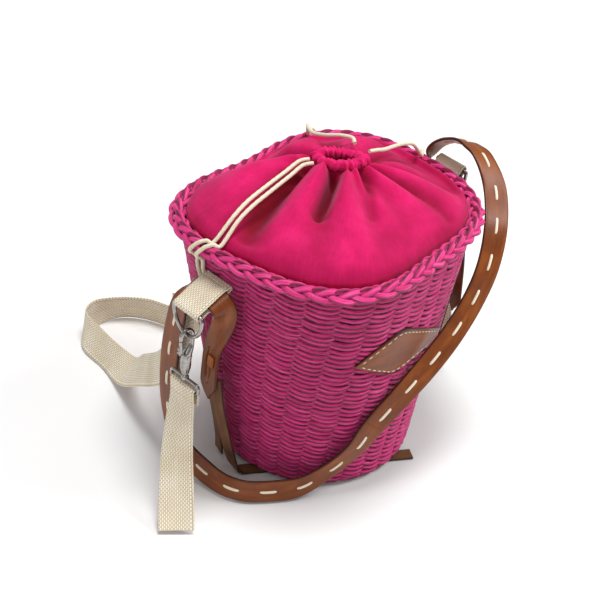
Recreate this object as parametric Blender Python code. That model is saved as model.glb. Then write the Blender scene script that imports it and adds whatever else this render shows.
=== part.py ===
"""Straw bucket bag with a gathered cotton collar, a stitched leather handle and a webbing strap.

Metres, +Z up. The origin is the middle of the basket's underside. The two webbing loops lie on the
X axis, and the leaf-shaped patch is on the -Y side, which is the bag's front.
"""

import math

import bmesh
import bpy
from mathutils import Vector

# Driving dimensions of the basket
BASKET_HEIGHT = 0.2327
BASE_RADIUS = 0.0855
MOUTH_RADIUS = 0.1201
# The mouth is pulled out of round: (waves round the mouth, cosine part, sine part), from the front
MOUTH_WAVES = ((2, -0.0101, -0.0041), (3, 0.0035, -0.0009), (4, -0.0059, -0.0033))
WALL = 0.0035
BOTTOM_THICKNESS = 0.0045
RIM_TUBE_WIDTH = 0.0110
RIM_TUBE_HEIGHT = 0.0130
SEGMENTS = 60
GAP = 0.0004

# Cotton bag and collar
CLOTH = 0.0015
COLLAR_FOOT_Z = 0.2262
THROAT_CENTRE = Vector((0.0090, 0.0070, 0.2720))
THROAT_RADIUS = 0.0195
CHANNEL_RADIUS = 0.0055
CORD_RADIUS = 0.00175
KNOT_RADIUS = 0.0050

# Leather and webbing
STRAP_WIDTH = 0.0220
STRAP_THICKNESS = 0.0028
TAB_WIDTH = 0.0200
TAB_THICKNESS = 0.0024
TAIL_WIDTH = 0.0130
TAIL_THICKNESS = 0.0020
WEBBING_WIDTH = 0.0300
WEBBING_THICKNESS = 0.0018
LEFT_LOOP_LENGTH = 0.0400
RIGHT_LOOP_LENGTH = 0.0340
LOOP_HALF_HEIGHT = 0.0035
LOOP_WALL = 0.0013
LEFT_LOOP_ROOT = Vector((-0.1208, 0.0, 0.2050))
LEFT_LOOP_ANGLE = math.radians(207.0)
RIGHT_LOOP_ROOT = Vector((0.1232, 0.0, 0.2056))
RIGHT_LOOP_ANGLE = math.radians(45.0)
LEFT_STRAP_SEAT = 0.0165
RIGHT_STRAP_SEAT = 0.0165

# Metal
RING_WIRE = 0.00175
RING_HALF_WIDTH = 0.0175
RING_DEPTH = 0.0245
HOOK_ROD = 0.0019
HOOK_BEND = 0.0058
HOOK_LENGTH = 0.0385
EYE_HALF_WIDTH = 0.0175
EYE_BAR = 0.0015
EYE_HEIGHT = 0.0080


def clear_scene():
    for item in list(bpy.data.objects):
        bpy.data.objects.remove(item, do_unlink=True)


def material(name, colour, roughness, metallic=0.0):
    made = bpy.data.materials.new(name)
    made.use_nodes = True
    shader = made.node_tree.nodes["Principled BSDF"]
    shader.inputs["Base Color"].default_value = (*colour, 1.0)
    shader.inputs["Roughness"].default_value = roughness
    shader.inputs["Metallic"].default_value = metallic
    return made


def add_object(name, data, finish, parent=None):
    """Link the data as one named object; a parent keeps the object at its own world place."""
    made = bpy.data.objects.new(name, data)
    bpy.context.scene.collection.objects.link(made)
    data.materials.append(finish)
    if parent is not None:
        made.parent = parent
        made.matrix_parent_inverse = parent.matrix_world.inverted()
    return made


def pivot(name, place):
    """An empty on a joint's axis, which the moving pieces are parented to."""
    made = bpy.data.objects.new(name, None)
    bpy.context.scene.collection.objects.link(made)
    made.location = place
    bpy.context.view_layer.update()
    return made


def mesh_from_rings(name, rings, closed):
    """Skin equal rings of points one after another: a solid with capped ends, or a closed band."""
    shell = bmesh.new()
    rows = [[shell.verts.new(point) for point in ring] for ring in rings]
    count = len(rings[0])
    pairs = list(zip(rows, rows[1:]))
    if closed:
        pairs.append((rows[-1], rows[0]))
    for low, high in pairs:
        for i in range(count):
            j = (i + 1) % count
            shell.faces.new((low[i], low[j], high[j], high[i]))
    if not closed:
        shell.faces.new(list(reversed(rows[0])))
        shell.faces.new(rows[-1])
    bmesh.ops.recalc_face_normals(shell, faces=shell.faces)
    mesh = bpy.data.meshes.new(name)
    shell.to_mesh(mesh)
    shell.free()
    return mesh


def smooth_shading(mesh, degrees=40.0):
    mesh.shade_smooth()
    mesh.set_sharp_from_angle(angle=math.radians(degrees))


def mouth_radius(angle):
    """Radius to the middle of the rim's braid; the angle runs from -Y towards +X."""
    radius = MOUTH_RADIUS
    for waves, cosine, sine in MOUTH_WAVES:
        radius += cosine * math.cos(waves * angle) + sine * math.sin(waves * angle)
    return radius


def wall_radius(z, angle):
    """Outer radius of the basket at height z: round at the base, the mouth's shape at the rim."""
    return BASE_RADIUS + (mouth_radius(angle) - BASE_RADIUS) * z / BASKET_HEIGHT


def polar(radius, angle, z):
    return Vector((radius * math.sin(angle), -radius * math.cos(angle), z))


def wall_rings(profile):
    """Rings of points round the basket for a profile of (distance outside the wall, z)."""
    rings = []
    for i in range(SEGMENTS):
        angle = 2.0 * math.pi * i / SEGMENTS
        rings.append([polar(wall_radius(z, angle) + out, angle, z) for out, z in profile])
    return rings


def turned(name, radius, tube_radius, centre, finish, segments):
    """A round ring: a circle of tube_radius turned about the vertical line through centre."""
    rings = []
    for i in range(segments):
        angle = 2.0 * math.pi * i / segments
        ring = []
        for k in range(10):
            turn = 2.0 * math.pi * k / 10
            offset = polar(radius + tube_radius * math.cos(turn), angle, tube_radius * math.sin(turn))
            ring.append(centre + offset)
        rings.append(ring)
    mesh = mesh_from_rings(name, rings, closed=True)
    smooth_shading(mesh)
    return add_object(name, mesh, finish)


def cup(name, outer, inner, finish):
    """An open cup whose outer and inner profiles of (distance outside the wall, z) run upwards."""
    shell = bmesh.new()
    rings = wall_rings(outer + list(reversed(inner)))
    columns = [[shell.verts.new(point) for point in ring] for ring in rings]
    for i, column in enumerate(columns):
        beside = columns[(i + 1) % SEGMENTS]
        for k in range(len(column) - 1):
            shell.faces.new((column[k], beside[k], beside[k + 1], column[k + 1]))
    shell.faces.new([column[0] for column in reversed(columns)])
    shell.faces.new([column[-1] for column in columns])
    bmesh.ops.recalc_face_normals(shell, faces=shell.faces)
    mesh = bpy.data.meshes.new(name)
    shell.to_mesh(mesh)
    shell.free()
    smooth_shading(mesh)
    return add_object(name, mesh, finish)


def curve_through(points, per_span):
    """Catmull-Rom samples through a list of vectors, with per_span samples for each stretch."""
    points = [Vector(p) for p in points]
    padded = [points[0] * 2.0 - points[1]] + points + [points[-1] * 2.0 - points[-2]]
    samples = []
    for i in range(1, len(padded) - 2):
        before, start, end, after = padded[i - 1:i + 3]
        for step in range(per_span):
            t = step / per_span
            linear = (end - before) * t
            square = (before * 2.0 - start * 5.0 + end * 4.0 - after) * t * t
            cubic = (start * 3.0 - before - end * 3.0 + after) * t * t * t
            samples.append((start * 2.0 + linear + square + cubic) * 0.5)
    samples.append(points[-1])
    return samples


def ribbon(name, route, width, thickness, finish, per_span=4, shares=None, parent=None):
    """A strap along a route of (point, face normal) pairs; shares scale the width at each of them."""
    middle = curve_through([p for p, _ in route], per_span)
    normals = curve_through([n for _, n in route], per_span)
    if shares is None:
        shares = [1.0] * len(route)
    widths = curve_through([(share * width, 0.0, 0.0) for share in shares], per_span)
    rings = []
    last = len(middle) - 1
    for i, place in enumerate(middle):
        along = (middle[min(i + 1, last)] - middle[max(i - 1, 0)]).normalized()
        across = along.cross(normals[i]).normalized()
        face = across.cross(along).normalized()
        half = widths[i].x / 2.0
        lift = face * (thickness / 2.0)
        side = across * half
        rings.append([place - side - lift, place + side - lift, place + side + lift, place - side + lift])
    mesh = mesh_from_rings(name, rings, closed=False)
    return add_object(name, mesh, finish, parent)


def tube(name, points, radius, finish, cyclic=False, radii=None, parent=None, sides=2):
    """A round bar or cord as a bevelled curve; radii gives each point its own radius."""
    data = bpy.data.curves.new(name, "CURVE")
    data.dimensions = "3D"
    data.bevel_depth = radius
    data.bevel_resolution = sides
    data.use_fill_caps = True
    data.render_resolution_u = 0
    line = data.splines.new("POLY")
    line.points.add(len(points) - 1)
    for i, place in enumerate(points):
        line.points[i].co = (*place, 1.0)
        line.points[i].radius = 1.0 if radii is None else radii[i] / radius
    line.use_cyclic_u = cyclic
    line.use_smooth = True
    return add_object(name, data, finish, parent)


def ball(name, centre, radius, finish, squash=1.0):
    shell = bmesh.new()
    bmesh.ops.create_uvsphere(shell, u_segments=14, v_segments=8, radius=radius)
    mesh = bpy.data.meshes.new(name)
    for corner in shell.verts:
        corner.co.z *= squash
    shell.to_mesh(mesh)
    shell.free()
    smooth_shading(mesh)
    made = add_object(name, mesh, finish)
    made.location = centre
    return made


def cutter(name, mesh):
    made = bpy.data.objects.new(name, mesh)
    bpy.context.scene.collection.objects.link(made)
    made.hide_render = True
    made.display_type = "WIRE"
    return made


def box_mesh(name, size):
    shell = bmesh.new()
    bmesh.ops.create_cube(shell, size=1.0)
    bmesh.ops.scale(shell, vec=size, verts=shell.verts)
    mesh = bpy.data.meshes.new(name)
    shell.to_mesh(mesh)
    shell.free()
    return mesh


def cut(target, tool, operation="DIFFERENCE"):
    change = target.modifiers.new("cut", "BOOLEAN")
    change.operation = operation
    change.solver = "EXACT"
    change.object = tool


def build_basket(straw):
    """The woven cup, with a groove under its bottom where the long leather tail passes."""
    edge = 0.0060
    top = BASKET_HEIGHT - RIM_TUBE_HEIGHT - GAP
    outer = [(-edge, 0.0), (-0.0020, 0.0015), (0.0, edge)]
    outer += [(0.0, top * k / 4.0) for k in range(1, 5)]
    inner = [(-edge - 0.0020, BOTTOM_THICKNESS), (-WALL, 0.0120), (-WALL, top)]
    basket = cup("basket_body", outer, inner, straw)
    groove = cutter("tail_groove_cutter", box_mesh("tail_groove_cutter", (0.20, 0.0146, 0.0060)))
    groove.location = (LONG_TAIL_ENTRY + LONG_TAIL_END) / 2.0 + Vector((0.0, 0.0, -0.0002))
    heading = LONG_TAIL_END - LONG_TAIL_ENTRY
    groove.rotation_euler = (0.0, 0.0, math.atan2(heading.y, heading.x))
    cut(basket, groove)
    middle_z = BASKET_HEIGHT - RIM_TUBE_HEIGHT / 2.0
    rings = []
    for i in range(SEGMENTS):
        angle = 2.0 * math.pi * i / SEGMENTS
        ring = []
        for k in range(10):
            turn = 2.0 * math.pi * k / 10
            radius = mouth_radius(angle) + RIM_TUBE_WIDTH / 2.0 * math.cos(turn)
            ring.append(polar(radius, angle, middle_z + RIM_TUBE_HEIGHT / 2.0 * math.sin(turn)))
        rings.append(ring)
    mesh = mesh_from_rings("rim_braid", rings, closed=True)
    smooth_shading(mesh)
    add_object("rim_braid", mesh, straw)


def build_cloth(cotton):
    """The lining inside the basket, the domed collar above it and the hem round the throat."""
    low = BOTTOM_THICKNESS + GAP
    outside = -WALL - 0.0020
    top = COLLAR_FOOT_Z - GAP
    outer = [(-0.0100, low), (outside, 0.0135), (outside, top)]
    inner = [(-0.0120, low + CLOTH), (outside - CLOTH, 0.0145), (outside - CLOTH, top)]
    cup("lining_bag", outer, inner, cotton)

    # The dome's profile: its share of the way from the mouth to the throat, and height
    dome = [(0.0, COLLAR_FOOT_Z), (0.005, 0.2340), (0.06, 0.2412), (0.19, 0.2485), (0.38, 0.2550)]
    dome += [(0.60, 0.2603), (0.82, 0.2638), (1.0, 0.2646)]
    rings = []
    for i in range(SEGMENTS):
        angle = 2.0 * math.pi * i / SEGMENTS
        foot = mouth_radius(angle) - 0.0074
        ring = []
        for inside in (0.0, 1.0):
            for share, z in (dome if inside == 0.0 else reversed(dome)):
                steep = min(1.0, 0.15 + 1.6 * share)
                radius = foot + (THROAT_RADIUS + 0.0030 - foot) * share
                radius -= inside * CLOTH * (1.1 - steep)
                point = polar(radius, angle, z - inside * CLOTH * steep)
                ring.append(point + Vector((THROAT_CENTRE.x, THROAT_CENTRE.y, 0.0)) * share)
        rings.append(ring)
    mesh = mesh_from_rings("drawstring_collar", rings, closed=True)
    smooth_shading(mesh)
    add_object("drawstring_collar", mesh, cotton)
    turned("drawstring_channel", THROAT_RADIUS, CHANNEL_RADIUS, THROAT_CENTRE, cotton, 32)


# Each strand: points over the collar from the hem, the rim's angles in degrees where it crosses,
# and (angle, z) points down the outside of the wall
CORD_ROUTES = {
    "cord_left_front": (
        [(-0.0176, 0.0110, 0.2735), (-0.0262, 0.0146, 0.2722), (-0.0400, 0.0134, 0.2680),
         (-0.0620, 0.0100, 0.2635), (-0.0860, 0.0068, 0.2576), (-0.1030, 0.0045, 0.2500)],
        (-91.5, -97.5),
        [(-98.8, 0.2150), (-99.0, 0.2060), (-98.6, 0.1960), (-98.2, 0.1875)],
    ),
    "cord_left_rear": (
        [(-0.0158, 0.0180, 0.2735), (-0.0240, 0.0215, 0.2722), (-0.0390, 0.0205, 0.2680),
         (-0.0610, 0.0172, 0.2640), (-0.0850, 0.0134, 0.2590), (-0.1022, 0.0105, 0.2516)],
        (-95.2, -101.0),
        [(-102.2, 0.2150), (-102.4, 0.2060), (-101.6, 0.1960), (-100.6, 0.1875)],
    ),
    "cord_right": (
        [(0.0350, -0.0008, 0.2735), (0.0440, -0.0014, 0.2722), (0.0560, 0.0016, 0.2678),
         (0.0744, 0.0068, 0.2630), (0.0900, 0.0102, 0.2588), (0.1050, 0.0130, 0.2520)],
        (98.0, 103.0),
        [(104.0, 0.2150), (103.8, 0.2060), (102.6, 0.1960), (101.2, 0.1875)],
    ),
    "cord_rear": (
        [(0.0346, 0.0165, 0.2735), (0.0385, 0.0240, 0.2740), (0.0350, 0.0350, 0.2725),
         (0.0310, 0.0480, 0.2680), (0.0330, 0.0650, 0.2620), (0.0440, 0.0830, 0.2560),
         (0.0560, 0.0960, 0.2485)],
        (148.0, 143.0),
        [(139.0, 0.2140), (130.0, 0.2060), (121.0, 0.1980), (112.0, 0.1925), (104.8, 0.1870)],
    ),
}
KNOTS = {
    "cord_knot_left": (-99.5, 0.1790),
    "cord_knot_right": (103.0, 0.1790),
}


def cord_points(over, crossing, down):
    """A strand's whole path: over the collar, over the braid of the rim and down the wall."""
    points = [Vector(place) for place in over]
    clear = CORD_RADIUS + 0.0012
    middle_z = BASKET_HEIGHT - RIM_TUBE_HEIGHT / 2.0
    for i, turn in enumerate((118.0, 84.0, 50.0, 16.0, -18.0)):
        angle = math.radians(crossing[0] + (crossing[1] - crossing[0]) * i / 4.0)
        out = (RIM_TUBE_WIDTH / 2.0 + clear) * math.cos(math.radians(turn))
        up = (RIM_TUBE_HEIGHT / 2.0 + clear) * math.sin(math.radians(turn))
        points.append(polar(mouth_radius(angle) + out, angle, middle_z + up))
    for degrees, z in down:
        angle = math.radians(degrees)
        points.append(polar(wall_radius(z, angle) + clear, angle, z))
    return points


def build_cords(cotton_cord):
    for name, (over, crossing, down) in CORD_ROUTES.items():
        tube(name, curve_through(cord_points(over, crossing, down), 2), CORD_RADIUS, cotton_cord)
    for name, (degrees, z) in KNOTS.items():
        angle = math.radians(degrees)
        centre = polar(wall_radius(z, angle) + KNOT_RADIUS + 0.0010, angle, z)
        ball(name, centre, KNOT_RADIUS, cotton_cord, 1.1)


# The leaf's outline: distance along the wall from the front line, and height
LEAF_TOP = [(-0.0533, 0.1471), (-0.0413, 0.1592), (-0.0268, 0.1681), (-0.0120, 0.1710), (0.0137, 0.1587),
            (0.0409, 0.1440)]
LEAF_BOTTOM = [(-0.0533, 0.1471), (-0.0406, 0.1389), (-0.0250, 0.1300), (-0.0113, 0.1241), (0.0150, 0.1260),
               (0.0420, 0.1280)]
LEAF_END = (0.0580, 0.1340)
LEAF_THICKNESS = 0.0018
LEAF_LIFT = 0.0008


def build_leaf(leather):
    """A leaf-shaped patch laid on the front of the basket."""
    def on_wall(arc, z, lift):
        angle = arc / wall_radius(z, 0.0)
        return polar(wall_radius(z, angle) + lift, angle, z)

    rings = []
    steps = 4
    spans = len(LEAF_TOP) - 1
    for k in range(1, spans * steps + steps):
        span = min(k / steps, spans)
        i = min(int(span), spans - 1)
        t = span - i
        edges = []
        for side in (LEAF_BOTTOM, LEAF_TOP):
            arc = side[i][0] + (side[i + 1][0] - side[i][0]) * t
            z = side[i][1] + (side[i + 1][1] - side[i][1]) * t
            if k > spans * steps:
                share = (k - spans * steps) / steps
                arc += (LEAF_END[0] - arc) * share
                z += (LEAF_END[1] - z) * share
            edges.append((arc, z))
        (low_arc, low_z), (high_arc, high_z) = edges
        wide, tall = high_arc - low_arc, high_z - low_z
        line = [(low_arc + wide * s / 4.0, low_z + tall * s / 4.0) for s in range(5)]
        ring = [on_wall(arc, z, LEAF_LIFT) for arc, z in line]
        ring += [on_wall(arc, z, LEAF_LIFT + LEAF_THICKNESS) for arc, z in reversed(line)]
        rings.append(ring)
    mesh = mesh_from_rings("leaf_patch", rings, closed=False)
    add_object("leaf_patch", mesh, leather)


def loop_point(root, angle, along, across=0.0, y=0.0):
    """A point in a webbing loop: along it from its root, across its thickness and along Y."""
    x = root.x + along * math.cos(angle) - across * math.sin(angle)
    z = root.z + along * math.sin(angle) + across * math.cos(angle)
    return Vector((x, y, z))


def build_loop(name, root, angle, length, webbing):
    """A flat sleeve of webbing, open along Y."""
    def outline(inset, y):
        half = LOOP_HALF_HEIGHT - inset
        near = LOOP_HALF_HEIGHT
        far = length - LOOP_HALF_HEIGHT
        points = []
        for i in range(7):
            turn = -math.pi / 2.0 + math.pi * i / 6
            points.append(loop_point(root, angle, far + half * math.cos(turn), half * math.sin(turn), y))
        for i in range(7):
            turn = math.pi / 2.0 + math.pi * i / 6
            points.append(loop_point(root, angle, near + half * math.cos(turn), half * math.sin(turn), y))
        return points

    half_width = WEBBING_WIDTH / 2.0
    rings = [outline(0.0, -half_width), outline(0.0, half_width)]
    rings += [outline(LOOP_WALL, half_width), outline(LOOP_WALL, -half_width)]
    mesh = mesh_from_rings(name, rings, closed=True)
    smooth_shading(mesh)
    add_object(name, mesh, webbing)


RIGHT_TAB_SHARES = [0.12, 0.9, 1.0, 1.0, 0.95, 0.85, 0.8, 0.8, 0.8, 0.8, 0.75, 0.7, 0.75, 0.8, 0.85]


def build_tabs(leather):
    """The strap ends: each passes through its loop, turns down and lies on the basket's wall."""
    seat = loop_point(LEFT_LOOP_ROOT, LEFT_LOOP_ANGLE, LEFT_STRAP_SEAT)
    up = Vector((-0.454, 0.0, 0.891))
    ribbon("strap_tab_left", [
        (Vector((-0.1285, -0.0023, 0.0900)), Vector((-1.0, 0.0, 0.0))),
        (Vector((-0.1285, -0.0010, 0.1020)), Vector((-1.0, 0.0, 0.0))),
        (Vector((-0.1288, -0.0037, 0.1400)), Vector((-1.0, 0.0, 0.0))),
        (Vector((-0.1290, -0.0135, 0.1670)), Vector((-1.0, -0.3, 0.0))),
        (Vector((-0.1312, -0.0195, 0.1830)), Vector((-0.7, -0.9, 0.1))),
        (Vector((-0.1340, -0.0212, 0.1915)), Vector((-0.35, -1.0, 0.5))),
        (Vector((seat.x, -0.0178, 0.1965)), Vector((-0.45, -0.4, 0.9))),
        (Vector((seat.x, -0.0110, seat.z)), up),
        (Vector((seat.x, 0.0110, seat.z)), up),
        (Vector((seat.x - 0.0006, 0.0172, 0.1960)), Vector((-0.45, 0.5, 0.8))),
        (Vector((-0.1372, 0.0197, 0.1915)), Vector((-0.45, 1.0, 0.3))),
    ], TAB_WIDTH, TAB_THICKNESS, leather, 3, [0.12, 0.9] + [1.0] * 9)
    seat = loop_point(RIGHT_LOOP_ROOT, RIGHT_LOOP_ANGLE, RIGHT_STRAP_SEAT)
    up = Vector((-0.707, 0.0, 0.707))
    ribbon("strap_tab_right", [
        (Vector((0.1300, -0.0370, 0.0960)), Vector((1.0, -0.2, 0.0))),
        (Vector((0.1300, -0.0370, 0.1080)), Vector((1.0, -0.2, 0.0))),
        (Vector((0.1305, -0.0340, 0.1500)), Vector((1.0, -0.2, 0.0))),
        (Vector((0.1325, -0.0285, 0.1850)), Vector((1.0, -0.4, 0.0))),
        (Vector((0.1352, -0.0240, 0.2040)), Vector((0.6, -1.0, 0.1))),
        (Vector((0.1358, -0.0210, 0.2140)), Vector((-0.2, -0.8, 0.8))),
        (Vector((seat.x, -0.0164, seat.z)), up),
        (Vector((seat.x, -0.0120, seat.z)), up),
        (Vector((seat.x, 0.0120, seat.z)), up),
        (Vector((seat.x, 0.0164, seat.z)), up),
        (Vector((0.1362, 0.0215, 0.2205)), Vector((-0.65, 0.45, 0.5))),
        (Vector((0.1415, 0.0232, 0.2290)), Vector((-0.1, 1.0, 0.0))),
        (Vector((0.1455, 0.0195, 0.2390)), Vector((0.3, 1.0, 0.5))),
        (Vector((0.1470, 0.0110, 0.2450)), Vector((0.4, 0.5, 0.8))),
        (Vector((0.1470, 0.0030, 0.2475)), Vector((0.45, 0.1, 0.85))),
    ], TAB_WIDTH, TAB_THICKNESS, leather, 3, RIGHT_TAB_SHARES)


TONGUES = {
    "tab_tongue_left": (-0.1313, -0.0045, 0.1330),
    "tab_tongue_right": (0.1337, -0.0352, 0.1330),
}


def build_small_leather(leather, flesh):
    """Tongues through the tabs' slits, and the narrow tails below the tabs."""
    for name, place in TONGUES.items():
        tongue = add_object(name, box_mesh(name, (0.0020, 0.0090, 0.0110)), leather)
        tongue.location = place
    ribbon("side_tail_left", [
        (Vector((-0.1225, 0.0060, 0.1200)), Vector((-1.0, 0.0, 0.1))),
        (Vector((-0.1165, 0.0090, 0.0900)), Vector((-1.0, 0.1, 0.1))),
        (Vector((-0.1055, 0.0135, 0.0520)), Vector((-1.0, 0.2, 0.2))),
        (Vector((-0.0960, 0.0180, 0.0200)), Vector((-1.0, 0.2, 0.2))),
        (Vector((-0.0925, 0.0202, 0.0035)), Vector((-1.0, 0.2, 0.0))),
    ], TAIL_WIDTH, TAIL_THICKNESS, flesh)
    flat = Vector((0.0, 0.0, 1.0))
    ribbon("long_tail_left", [
        (Vector((-0.1257, -0.0065, 0.1120)), Vector((-1.0, -0.1, 0.0))),
        (Vector((-0.1205, -0.0070, 0.0800)), Vector((-1.0, -0.1, 0.1))),
        (Vector((-0.1120, -0.0078, 0.0460)), Vector((-1.0, -0.1, 0.2))),
        (Vector((-0.1035, -0.0088, 0.0160)), Vector((-0.8, 0.0, 0.6))),
        (Vector((-0.0975, -0.0103, 0.0036)), Vector((-0.5, 0.2, 0.9))),
        (LONG_TAIL_ENTRY, flat),
        (LONG_TAIL_ENTRY * 0.67 + LONG_TAIL_END * 0.33, flat),
        (LONG_TAIL_ENTRY * 0.33 + LONG_TAIL_END * 0.67, flat),
        (LONG_TAIL_END, flat),
    ], TAIL_WIDTH, TAIL_THICKNESS, flesh)
    ribbon("side_tail_right", [
        (Vector((0.1262, -0.0330, 0.1240)), Vector((1.0, -0.3, 0.1))),
        (Vector((0.1150, -0.0345, 0.0800)), Vector((1.0, -0.3, 0.1))),
        (Vector((0.1040, -0.0350, 0.0400)), Vector((1.0, -0.3, 0.2))),
        (Vector((0.0945, -0.0340, 0.0080)), Vector((1.0, -0.3, 0.1))),
        (Vector((0.0935, -0.0340, 0.0030)), Vector((1.0, -0.3, 0.0))),
    ], TAIL_WIDTH, TAIL_THICKNESS, flesh)


LONG_TAIL_ENTRY = Vector((-0.0885, -0.0140, 0.0014))
LONG_TAIL_END = Vector((0.0430, -0.0860, 0.0014))

HANDLE_LEFT_PIVOT = Vector((-0.1355, 0.0, 0.1975))
HANDLE_RIGHT_PIVOT = Vector((0.1366, 0.0, 0.2190))
# The handle lies down over the front: from beside the left loop, round the foot and up to the right.
HANDLE_ROUTE = [
    (Vector((-0.1410, 0.0265, 0.1700)), Vector((-1.0, 0.00, 0.00))),
    (Vector((-0.1411, 0.0325, 0.1400)), Vector((-1.0, 0.00, 0.00))),
    (Vector((-0.1411, 0.0357, 0.1060)), Vector((-1.0, 0.00, 0.00))),
    (Vector((-0.1408, 0.0350, 0.0720)), Vector((-1.0, 0.05, 0.05))),
    (Vector((-0.1388, 0.0275, 0.0440)), Vector((-1.0, 0.05, 0.15))),
    (Vector((-0.1352, 0.0120, 0.0240)), Vector((-1.0, 0.00, 0.30))),
    (Vector((-0.1315, -0.0058, 0.0155)), Vector((-0.95, -0.20, 0.25))),
    (Vector((-0.1292, -0.0247, 0.0136)), Vector((-0.85, -0.50, 0.15))),
    (Vector((-0.1225, -0.0404, 0.0130)), Vector((-0.70, -0.75, 0.08))),
    (Vector((-0.1115, -0.0515, 0.0128)), Vector((-0.60, -0.90, 0.05))),
    (Vector((-0.0868, -0.0665, 0.0132)), Vector((-0.50, -0.95, 0.05))),
    (Vector((-0.0710, -0.0745, 0.0190)), Vector((-0.45, -0.95, -0.15))),
    (Vector((-0.0526, -0.0849, 0.0350)), Vector((-0.40, -0.95, -0.35))),
    (Vector((-0.0400, -0.0940, 0.0535)), Vector((-0.35, -1.00, -0.25))),
    (Vector((-0.0278, -0.1005, 0.0764)), Vector((-0.42, -1.00, 0.08))),
    (Vector((-0.0040, -0.1055, 0.1000)), Vector((-0.40, -0.95, 0.22))),
    (Vector((0.0218, -0.1060, 0.1180)), Vector((-0.35, -0.88, 0.36))),
    (Vector((0.0504, -0.1039, 0.1370)), Vector((-0.30, -0.84, 0.36))),
    (Vector((0.0788, -0.0988, 0.1590)), Vector((-0.22, -0.80, 0.36))),
    (Vector((0.0976, -0.0945, 0.1860)), Vector((-0.21, -0.70, 0.43))),
    (Vector((0.1166, -0.0811, 0.2130)), Vector((-0.17, -0.53, 0.61))),
    (Vector((0.1377, -0.0567, 0.2320)), Vector((-0.09, -0.38, 0.74))),
    (Vector((0.1445, -0.0340, 0.2490)), Vector((0.12, -0.24, 0.87))),
    (Vector((0.1465, -0.0180, 0.2522)), Vector((0.28, -0.05, 0.93))),
    (Vector((0.1468, -0.0080, 0.2518)), Vector((0.42, 0.05, 0.88))),
]


def build_handle(leather):
    middle = (HANDLE_LEFT_PIVOT + HANDLE_RIGHT_PIVOT) / 2.0
    hinge = pivot("handle_pivot", middle)
    ribbon("handle_strap", HANDLE_ROUTE, STRAP_WIDTH, STRAP_THICKNESS, leather, 3, parent=hinge)


def ring_route(bar):
    """A D shape in the YZ plane below its straight bar."""
    corner = 0.0025
    points = [(bar.x, -RING_HALF_WIDTH + corner, bar.z), (bar.x, 0.0, bar.z)]
    points.append((bar.x, RING_HALF_WIDTH - corner, bar.z))
    points.append((bar.x, RING_HALF_WIDTH - corner * 0.3, bar.z - corner * 0.3))
    for i in range(15):
        angle = math.pi * i / 14
        drop = corner + (RING_DEPTH - corner) * math.sin(angle)
        points.append((bar.x, RING_HALF_WIDTH * math.cos(angle), bar.z - drop))
    points.append((bar.x, -RING_HALF_WIDTH + corner * 0.3, bar.z - corner * 0.3))
    return points


def hook_route(x, bow_z, inward):
    """The hook's spine from its foot up its inner side, over the ring and down to the tip."""
    foot = bow_z - HOOK_LENGTH
    points = [(x, foot, 0.0030), (x, foot + 0.0080, 0.0042), (x, foot + 0.0160, 0.0041)]
    points.append((x + inward * 0.0008, foot + 0.0195, 0.0037))
    points.append((x + inward * 0.0036, foot + 0.0240, 0.0026))
    points.append((x + inward * HOOK_BEND, foot + 0.0285, HOOK_ROD))
    centre_z = bow_z + RING_WIRE + HOOK_ROD + GAP - HOOK_BEND
    for i in range(9):
        angle = math.pi * i / 8
        reach = inward * HOOK_BEND * math.cos(angle)
        points.append((x + reach, centre_z + HOOK_BEND * math.sin(angle), HOOK_ROD))
    points.append((x - inward * HOOK_BEND, bow_z - 0.0042, HOOK_ROD * 0.95))
    return points


def build_eye(name, x, foot_z, metal, parent):
    """A swivel eye: a slotted plate for the webbing under a short post."""
    top = foot_z - 0.0040
    height = EYE_HEIGHT + 2.0 * EYE_BAR
    plate_size = (2.0 * EYE_BAR, 2.0 * (EYE_HALF_WIDTH + EYE_BAR), height)
    eye = add_object(name, box_mesh(name, plate_size), metal, None)
    centre = Vector((x, 0.0, top + EYE_BAR - height / 2.0))
    eye.location = centre
    slot_name = name + "_slot_cutter"
    slot_size = (0.02, 2.0 * (EYE_HALF_WIDTH - EYE_BAR), EYE_HEIGHT - EYE_BAR)
    slot = cutter(slot_name, box_mesh(slot_name, slot_size))
    slot.location = centre
    cut(eye, slot)
    post = bmesh.new()
    bmesh.ops.create_cone(post, cap_ends=True, segments=14, radius1=0.0022, radius2=0.0018, depth=0.0040)
    post_mesh = bpy.data.meshes.new(name + "_post_cutter")
    post.to_mesh(post_mesh)
    post.free()
    post_tool = cutter(name + "_post_cutter", post_mesh)
    post_tool.location = (x, 0.0, foot_z - 0.0003 - 0.0020)
    cut(eye, post_tool, "UNION")
    if parent is not None:
        bpy.context.view_layer.update()
        eye.parent = parent
        eye.matrix_parent_inverse = parent.matrix_world.inverted()
    return centre.z - height / 2.0 + EYE_BAR


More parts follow.
